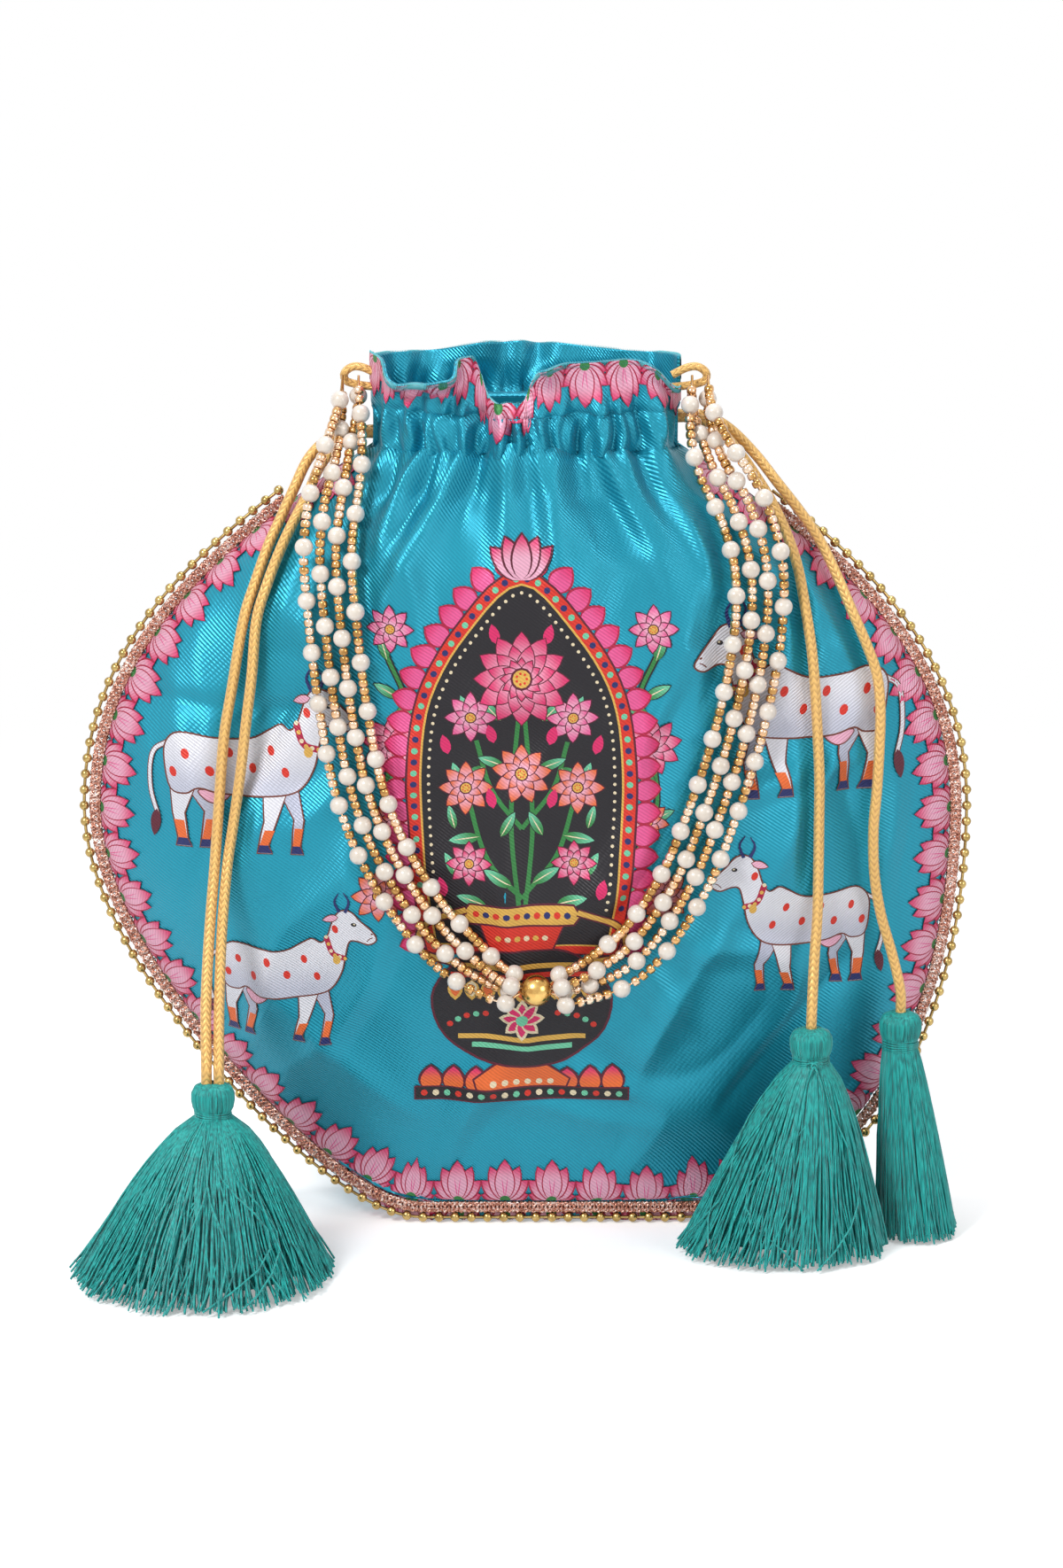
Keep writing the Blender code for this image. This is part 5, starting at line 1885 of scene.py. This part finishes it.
CORD_ROUTES: dict[str, tuple[Point, ...]] = {
    "left_inner": (
        (-83.9, -60.0, 56.1), (-83.9, -59.4, 61.0), (-84.2, -49.0, 75.0), (-84.0, -35.5, 92.0),
        (-82.8, -27.5, 108.0), (-81.0, -25.8, 120.0), (-78.9, -25.8, 134.0), (-77.2, -25.3, 148.0),
        (-75.4, -24.6, 162.0), (-74.0, -22.8, 177.0), (-71.0, -21.6, 187.0), (-67.4, -17.8, 196.0),
        (-64.2, -14.4, 202.5), (-60.3, -9.8, 209.5), (-56.5, -5.2, 217.5), (-50.5, -2.3, 223.5),
        (-44.0, -2.0, 225.8),
    ),
    "left_outer": (
        (-87.3, -60.0, 56.1), (-87.3, -59.4, 61.0), (-87.8, -50.0, 75.0), (-87.4, -36.0, 92.0),
        (-86.3, -27.5, 108.0), (-85.1, -24.6, 124.0), (-83.4, -23.8, 144.0), (-81.0, -22.9, 158.0),
        (-77.6, -21.8, 177.0), (-74.4, -19.4, 187.0), (-70.9, -15.0, 196.5), (-67.8, -11.0, 203.0),
        (-64.0, -7.0, 211.0), (-60.3, -2.4, 218.3), (-55.5, 0.8, 223.0), (-50.5, 1.8, 225.0),
        (-44.0, 2.1, 225.8),
    ),
    "right_inner": (
        (79.5, -36.5, 64.3), (79.7, -35.5, 71.0), (80.4, -30.5, 82.0), (81.3, -27.0, 94.0),
        (81.5, -25.6, 108.0), (81.5, -25.3, 120.0), (81.4, -25.0, 134.0), (80.6, -24.2, 148.5),
        (79.8, -23.2, 160.5), (78.8, -22.0, 170.0), (77.2, -19.8, 180.0), (75.2, -16.0, 190.5),
        (72.3, -11.6, 199.0), (68.6, -7.6, 206.5), (64.5, -4.2, 213.0), (59.0, -2.2, 220.5),
        (52.0, -1.9, 228.0), (44.0, -2.0, 230.2),
    ),
    "right_outer": (
        (105.5, -20.5, 64.3), (105.2, -20.2, 71.0), (102.8, -18.6, 81.0), (99.6, -18.8, 92.0),
        (97.5, -19.9, 104.0), (97.0, -20.2, 117.0), (97.8, -19.4, 128.0), (98.4, -18.0, 140.0),
        (98.6, -16.2, 151.0), (97.6, -14.6, 160.0), (94.8, -13.5, 168.0), (90.8, -11.8, 177.0),
        (86.6, -8.4, 186.5), (81.8, -5.6, 196.0), (76.3, -4.4, 204.0), (70.0, -4.0, 212.0),
        (63.5, -0.4, 219.8), (56.5, 2.0, 226.4), (50.0, 2.2, 229.8), (44.0, 2.1, 230.2),
    ),
}


@dataclass(frozen=True)
class Drawstrings:
    """Two cords that each run round the neck and leave it on one side as two free ends."""

    form: PouchForm
    radius: float = 1.5
    ring: tuple[float, float] = (37.0, 10.6)
    rises: tuple[float, float] = (3.8, 8.2)
    slit_x: float = 44.0
    slit_y: tuple[float, float] = (-2.0, 2.1)
    hidden: float = 17.0

    def route(self, which: str) -> Line:
        """Centreline of one free end, from the slit in the neck down into its tassel."""
        places = CORD_ROUTES[which]
        foot = Vector(places[0]) - Vector((0.0, 0.0, self.hidden))
        return Line(smooth_line([*places[::-1], foot])).evenly(1.0)

    def free_end(self, which: str, node: str, finish: Finish, fittings: list[bpy.types.Object]) -> None:
        """Make one free end, from the slit in the neck down into its tassel.

        Args:
            which: name of its route.
            node: the CAD node that it stands for.
            finish: the cord's material.
            fittings: the tassel's pieces that hang on it; not used.
        """
        route, line = CORD_ROUTES[which], self.route(which)
        piece = sweep("drawstring_" + which, line, self.radius, finish, 0.9, 12)
        ride(piece, Body.BAG, Slot.CORD, node)
        [c * MM for c in route[-1]]
        [tuple(p * MM) for p in line.points]
        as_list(fittings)
        log.info("cord %s: %.0f mm", which, line.length)

    def round_neck(self, side: int, node: str, finish: Finish) -> None:
        """Make the run inside the channel, from one slit edge round to the other."""
        z = self.form.neck_z + self.rises[side > 0]
        ring = []
        for i in range(-1, 12):
            angle = math.radians(-150 + 30 * min(max(i, 0), 10))
            x, y = self.ring[0] * math.cos(angle), self.ring[1] * math.sin(angle)
            if i < 0 or i > 10:
                ring.append((side * self.slit_x, self.slit_y[i > 0], z))
            else:
                ring.append((-side * x, self.form.seam_y(z) + y, z))
        piece = sweep(f"{node}_run", Line(smooth_line(ring)).evenly(2.0), self.radius, finish, 2.0, 8)
        ride(piece, Body.BAG, Slot.CORD, node)


@dataclass(frozen=True)
class CordLoop:
    """The loop of cord on one side of the mouth that the handle hangs from."""

    side: int
    places: tuple[Point, ...] = (
        (40.5, -2.5, 242.0), (44.5, -2.5, 244.0), (47.6, -2.5, 244.3), (49.9, -2.4, 242.6),
        (49.6, -2.1, 240.4), (47.0, -1.9, 239.4), (44.0, -2.0, 238.9), (40.5, -2.2, 238.6),
    )
    radius: float = 1.15

    def build(self, node: str, finish: Finish) -> None:
        """Make the loop."""
        line = Line(smooth_line([(self.side * x, y, z) for x, y, z in self.places])).evenly(0.8)
        name = "handle_loop_left" if self.side < 0 else "handle_loop_right"
        ride(sweep(name, line, self.radius, finish, 0.8, 10), Body.BAG, Slot.CORD, node)


@dataclass
class Handle:
    """Four strands of pearls and glass beads, joined in the middle by a gold ball."""

    form: PouchForm
    front: Cloth
    route: tuple[Point, ...] = (
        (-48.2, -2.5, 241.0), (-48.6, -8.6, 232.0), (-50.5, -16.5, 220.0), (-53.0, -22.5, 208.0),
        (-54.0, -27.0, 195.0), (-52.7, -28.0, 178.0), (-49.9, -31.0, 154.0), (-45.5, -34.0, 131.0),
        (-37.4, -36.0, 111.0), (-24.0, -37.0, 91.0), (-9.0, -37.5, 78.5), (3.0, -38.0, 75.5),
        (15.0, -37.5, 77.5), (30.0, -37.0, 86.0), (43.0, -36.0, 104.5), (51.5, -34.0, 125.0),
        (58.5, -30.0, 147.0), (63.5, -25.0, 172.0), (64.0, -25.0, 192.0), (59.5, -21.0, 208.0),
        (52.5, -16.5, 220.5), (48.6, -8.6, 232.0), (48.2, -2.5, 241.0),
    )
    pearl: float = 2.55
    shoulder: float = 2.1
    seed: float = 1.42
    thread: float = 0.35
    pitch: float = 14.0
    first: float = 0.3
    seed_pitch: float = 2.0
    phases: tuple[float, ...] = (0.5, 0.0, 0.75, 0.25)
    spacing: float = 4.4
    lift: float = 1.2
    bundle: float = 40.0
    ball: float = 4.4
    end: float = 3.2

    def __post_init__(self) -> None:
        """Measure the route."""
        self.line = Line(smooth_line(self.route))
        self.middle = self.line.along[12 * 11]

    def front_y(self, x: float, z: float) -> float:
        """Depth of the front panel's plain outer face."""
        side = -1 if x < 0 else 1
        across = max(-1.0, min(1.0, x / self.form.seam_x(side, round(z, 3))))
        return self.front.inner_point(across, z).y - self.form.cloth

    def place(self, index: int, distance: float) -> Vector:
        """A point of one strand at a distance along the handle's middle line."""
        centre, tangent = self.line.at(distance), self.line.tangent(distance, 2.0)
        outward = Vector((0.0, -1.0, 0.0))
        outward = (outward - outward.dot(tangent) * tangent).normalized()
        beside = tangent.cross(outward)
        from_end = min(distance, self.line.length - distance)
        spread = smooth(0.0, self.bundle, from_end)
        pair, member = (-1 if index < 2 else 1), (1 if index % 2 else -1)
        turn = math.pi / 2 * (1 - spread)
        lateral = self.spacing * (pair * mix(0.5, 1.0, spread) + member * 0.5 * math.cos(turn))
        depth = self.spacing * pair * member * 0.5 * math.sin(turn)
        spot = centre + lateral * beside + depth * outward
        if from_end > self.bundle - self.pitch:
            spot.y = min(spot.y, self.front_y(spot.x, spot.z) - self.pearl - self.lift)
        away = abs(distance - self.middle)
        together = centre + 0.62 * lateral * beside + (3.6 if index % 2 else 0.0) * outward
        spot = spot.lerp(together, 1 - smooth(self.ball + 3.0, 26.0, away))
        bored = centre + (-0.55 if index < 2 else 0.55) * outward + (0.55 if index % 2 else -0.55) * beside
        return spot.lerp(bored, 1 - smooth(self.ball, self.ball + 2.8, away))

    def path(self, index: int) -> tuple[Line, list[float]]:
        """One strand's line, and the distances along the middle line at its points."""
        count = int(self.line.length)
        distances = [self.line.length * i / count for i in range(count + 1)]
        return Line([self.place(index, d) for d in distances]), distances

    def bead(self, radius: float, long: float, segments: int, rings: int, pole: float) -> bpy.types.Mesh:
        """A bead along Z: round, or a short barrel where long is under 1."""
        bm = bmesh.new()
        bmesh.ops.create_uvsphere(bm, u_segments=segments, v_segments=rings, radius=radius)
        for vert in bm.verts:
            share = vert.co.z / radius
            across = math.sqrt(max(0.0, 1 - share * share))
            if pole < 1 and across > 0.1:
                vert.co *= across**-0.55
            vert.co.z = long * math.copysign(min(abs(share), pole), share) / pole
        made = bpy.data.meshes.new("bead")
        bm.to_mesh(made)
        bm.free()
        return made

    def strand(self, index: int, finishes: Sequence[Finish]) -> bpy.types.Object:
        """One strand with all its beads and its thread."""
        pearl = self.bead(self.pearl, self.pearl, 16, 10, 1.0)
        seed = self.bead(self.seed, 0.98, 10, 8, 0.74)
        rng = random.Random(31 + index)
        path, distances = self.path(index)
        step, count = distances[1], len(distances) - 1
        bm = bmesh.new()

        def add(mesh: bpy.types.Mesh, distance: float, number: int) -> None:
            """Thread one bead at a distance along the middle line."""
            i = min(bisect_right(distances, distance), count)
            along = mix(path.along[i - 1], path.along[i], (distance - distances[i - 1]) / step)
            centre, ahead = path.at(along), path.tangent(along, 1.2)
            turn = ahead.to_track_quat("Z", "Y").to_matrix().to_4x4()
            spin = Matrix.Rotation(rng.uniform(0, 6.28), 4, "Z")
            jitter = spin @ Matrix.Rotation(rng.gauss(0, 0.06), 4, "X")
            start, faces = len(bm.verts), len(bm.faces)
            bm.from_mesh(mesh)
            bm.verts.ensure_lookup_table()
            bm.faces.ensure_lookup_table()
            matrix = Matrix.Translation(centre) @ turn @ jitter
            bmesh.ops.transform(bm, matrix=matrix, verts=bm.verts[start:])
            for face in bm.faces[faces:]:
                face.material_index = number

        beside_ball = self.ball + self.pearl + 0.3
        pearls = [self.middle - beside_ball, self.middle + beside_ball]
        centre = self.pitch * (self.first + self.phases[index])
        while centre < self.line.length - self.shoulder:
            if abs(centre - self.middle) > beside_ball + 2 * self.pearl + 1.6:
                pearls.append(centre)
            centre += self.pitch
        pearls.sort()
        for spot in pearls:
            add(pearl, spot, 0)
        ends = [self.end - self.pearl, *pearls, self.line.length - self.end + self.pearl]
        for low, high in zip(ends, ends[1:]):
            gap = high - low - 2 * self.pearl
            if low < self.middle < high:
                continue
            for k in range(int(gap / self.seed_pitch)):
                add(seed, low + self.pearl + gap * (k + 0.5) / int(gap / self.seed_pitch), 1)
        piece = mesh_object(f"strand_{index + 1}_beads", bm, finishes, 80)
        ride(piece, Body.HANDLE, Slot.PEARL, f"handle_strand_{index + 1}")
        thread = yarns(f"strand_{index + 1}_thread", [path.evenly(3.0).points], self.thread, finishes[1])
        return ride(thread, Body.HANDLE, Slot.PEARL)

    def build(self, pearl: Finish, glass: Finish, gold: Finish) -> None:
        """Make the strands and dress the gold ball."""
        for index in range(4):
            self.strand(index, (pearl, glass))
        centre = self.line.at(self.middle)
        bm = bmesh.new()
        bmesh.ops.create_uvsphere(bm, u_segments=40, v_segments=24, radius=self.ball)
        for vert in bm.verts:
            if abs(vert.co.z) > 4.12:
                vert.co.z = math.copysign(4.12 - 0.6 * (abs(vert.co.z) - 4.12), vert.co.z)
        bmesh.ops.rotate(bm, verts=bm.verts, cent=(0, 0, 0), matrix=Matrix.Rotation(math.pi / 2, 3, "Y"))
        bmesh.ops.translate(bm, verts=bm.verts, vec=centre)
        ride(mesh_object("gold_ball", bm, [gold], 50), Body.HANDLE, Slot.GOLD, "handle_gold_ball")
        log.info("handle made")


@dataclass(frozen=True)
class Studio:
    """Pale floor, soft lights and the camera, in metres."""

    white: Colour = (0.86, 0.86, 0.87)
    glow: float = 0.34
    fade: tuple[float, float] = (0.2, 0.65)
    surroundings: float = 0.3
    aim: Point = (0.0, 0.0, 0.12)
    lens: float = 113.9
    sensor: float = 36.0
    eye: Point = (0.0017, -1.3584, 0.4637)
    tilt: float = 76.0

    def floor(self) -> None:
        """A white floor that keeps the pouch's shadow."""
        bm = bmesh.new()
        bmesh.ops.create_grid(bm, x_segments=1, y_segments=1, size=6000.0)
        paper = Finish("white_floor", self.white, 0.9)
        rays = paper.node("ShaderNodeLightPath")
        seen = Expr(paper, rays.outputs["Is Camera Ray"])
        for ray in ("Is Glossy Ray", "Is Transmission Ray"):
            seen = seen + Expr(paper, rays.outputs[ray])
        glow = paper.node(
            "ShaderNodeEmission", inputs={"Color": (1.0, 1.0, 1.0, 1.0), "Strength": self.glow}
        )
        lit = paper.node("ShaderNodeAddShader", inputs={0: paper.shader.outputs[0], 1: glow.outputs[0]})
        both = paper.node(
            "ShaderNodeMixShader", inputs={0: seen.clamp(), 1: paper.shader.outputs[0], 2: lit.outputs[0]}
        )
        x, y, _ = paper.coordinates()
        away = (x ** 2 + y ** 2).math("SQRT")
        far = paper.node(
            "ShaderNodeMapRange", {"interpolation_type": "SMOOTHSTEP"},
            {"Value": away, "From Min": self.fade[0], "From Max": self.fade[1]},
        )
        white = paper.node("ShaderNodeEmission", inputs={"Color": (1.0, 1.0, 1.0, 1.0), "Strength": 1.0})
        share = Expr(paper, far.outputs[0]) * seen.clamp()
        faded = paper.node("ShaderNodeMixShader", inputs={0: share, 1: both.outputs[0], 2: white.outputs[0]})
        paper.tree.links.new(faded.outputs[0], paper.tree.nodes["Material Output"].inputs[0])
        floor = mesh_object("floor", bm, [paper])
        floor.data.transform(Matrix.Translation((0.0, 0.0, -0.0002)))

    def world(self) -> None:
        """White surroundings, dimmer as light than as a background."""
        world = bpy.data.worlds.new("studio")
        bpy.context.scene.world = world
        world.use_nodes = True
        tree = world.node_tree
        back = tree.nodes["Background"]
        back.inputs["Color"].default_value = (1.0, 1.0, 1.0, 1.0)
        rays = tree.nodes.new("ShaderNodeLightPath")
        seen = rays.outputs["Is Camera Ray"]
        for ray in ("Is Glossy Ray", "Is Transmission Ray"):
            add = tree.nodes.new("ShaderNodeMath")
            add.operation = "MAXIMUM"
            tree.links.new(seen, add.inputs[0])
            tree.links.new(rays.outputs[ray], add.inputs[1])
            seen = add.outputs[0]
        strength = tree.nodes.new("ShaderNodeMapRange")
        strength.inputs["To Min"].default_value = self.surroundings
        strength.inputs["To Max"].default_value = 1.0
        tree.links.new(seen, strength.inputs["Value"])
        tree.links.new(strength.outputs[0], back.inputs["Strength"])

    def lamp(self, name: str, place: Point, size: float, power: float) -> None:
        """One soft lamp that looks at the pouch."""
        data = bpy.data.lights.new(name, "AREA")
        data.size, data.energy = size, power
        lamp = bpy.data.objects.new(name, data)
        bpy.context.scene.collection.objects.link(lamp)
        lamp.location = place
        look = Vector(self.aim) - Vector(place)
        lamp.rotation_euler = look.to_track_quat("-Z", "Y").to_euler()

    def camera(self) -> None:
        """The photograph's view."""
        data = bpy.data.cameras.new("camera")
        data.lens, data.sensor_width = self.lens, self.sensor
        camera = bpy.data.objects.new("camera", data)
        bpy.context.scene.collection.objects.link(camera)
        camera.location = self.eye
        camera.rotation_euler = (math.radians(self.tilt), 0.0, 0.0)
        bpy.context.scene.camera = camera

    def build(self) -> None:
        """Set up the studio."""
        self.camera()
        self.floor()
        self.world()
        self.lamp("key", (-0.7, -0.9, 1.1), 0.35, 15.0)
        self.lamp("fill", (1.1, -0.9, 0.7), 0.6, 5.0)
        self.lamp("top", (0.1, 0.2, 1.3), 0.5, 7.0)
        bpy.context.scene.view_settings.view_transform = "Standard"


def main() -> None:
    """Build the pouch, piece by piece."""
    logging.basicConfig(level=logging.INFO, format="%(name)s: %(message)s")
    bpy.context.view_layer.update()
    Studio().build()
    form = PouchForm()
    satin = Satin().finish("turquoise_satin")
    printed = Satin(printed=True).finish("printed_satin")
    cord = Braided().finish("gold_yellow_cord")
    thread = Thread().finish("teal_thread")
    stitch = Finish("overlock_thread", (0.13, 0.52, 0.58), 0.55)
    gold = Metal((0.80, 0.52, 0.17), (0.60, 0.34, 0.10)).finish("gold_plate")
    antique = Metal((0.56, 0.40, 0.15), (0.36, 0.24, 0.08), 0.22).finish("antique_gold_plate")
    yarn = Glitter().finish("rose_gold_yarn")
    pearl, glass = Pearl().finish("cream_pearl"), LinedGlass().finish("lined_glass")

    strings = Drawstrings(form)
    left = Tassel("tassel_left", (-85.6, -60.0, 55.5), (-89.0, -62.0, 0.0), (36.0, 33.0), 760, 1)
    inner = Tassel(
        "tassel_right_inner", (79.5, -36.5, 64.0), (72.0, -40.0, 0.0), (29.0, 19.0), 620, 2, knotted=True
    )
    outer = Tassel("tassel_right_outer", (105.5, -20.5, 64.0), (111.0, -24.0, 0.0), (11.0, 12.0), 420, 3)
    pieces = {tassel.name: tassel.build(thread) for tassel in (left, inner, outer)}
    strings.free_end("left_inner", "drawstring_left", cord, pieces["tassel_left"][:3])
    strings.free_end("left_outer", "drawstring_left", cord, pieces["tassel_left"][3:])
    strings.free_end("right_inner", "drawstring_right", cord, pieces["tassel_right_inner"])
    strings.free_end("right_outer", "drawstring_right", cord, pieces["tassel_right_outer"])
    strings.round_neck(-1, "drawstring_left", cord)
    strings.round_neck(1, "drawstring_right", cord)

    front, back = Cloth(form, Facing.FRONT, 11), Cloth(form, Facing.BACK, 5)
    handle = Handle(form, front)
    for which in CORD_ROUTES:
        front.lay_cord(strings.route(which), strings.radius)
    for index in range(4):
        front.lay_cord(handle.path(index)[0], handle.pearl)
    front_cloth = front.build("front_cloth", satin, "front_panel")
    back_cloth = back.build("back_cloth", satin, "back_panel")
    front_edge = front.overlock("front_overlock", stitch)
    back_edge = back.overlock("back_overlock", stitch)
    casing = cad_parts["drawstring_casing"]
    band = tuple(max(abs(corner[k]) for corner in casing.bound_box) / MM - 0.4 for k in range(2))
    front_hem = front.channel_hem("front_channel_hem", satin, band)
    back_hem = back.channel_hem("back_channel_hem", satin, band)
    prints = Prints()
    lotus, small = prints.lotus().mesh(), prints.lotus(11.0).mesh()
    borders = PrintedLayer(front)
    borders.seam_border(lotus, 13.5)
    borders.frill_border(small, 11.0)
    front_border = borders.build("front_border", printed)
    layer = PrintedLayer(front)
    layer.figure(prints.urn().mesh(), -1.0, 44.0, 0.96)
    cow = prints.cow().mesh()
    for x, z, scale, mirrored in (
        (-79.0, 112.0, 0.88, False), (-68.0, 58.0, 0.74, False),
        (79.0, 128.0, 0.92, True), (79.0, 72.0, 0.76, True),
    ):
        layer.figure(cow, x, z, scale, mirrored)
    front_print = layer.build("front_print", printed)
    rear = PrintedLayer(back)
    rear.seam_border(prints.lotus(detail=False).mesh(), 13.5)
    rear.frill_border(prints.lotus(11.0, detail=False).mesh(), 11.0)
    back_border = rear.build("back_border", printed)
    log.info("cloth cut: front %.4f, back %.4f square metres", front.area, back.area)

    EdgeTrim(form).build(yarn, antique)
    handle.build(pearl, glass, gold)
    CordLoop(-1).build("handle_tab_left", cord)
    CordLoop(1).build("handle_tab_right", cord)
    casing.data.materials.clear()
    casing.data.materials.append(satin.material)


if __name__ == "__main__":
    main()
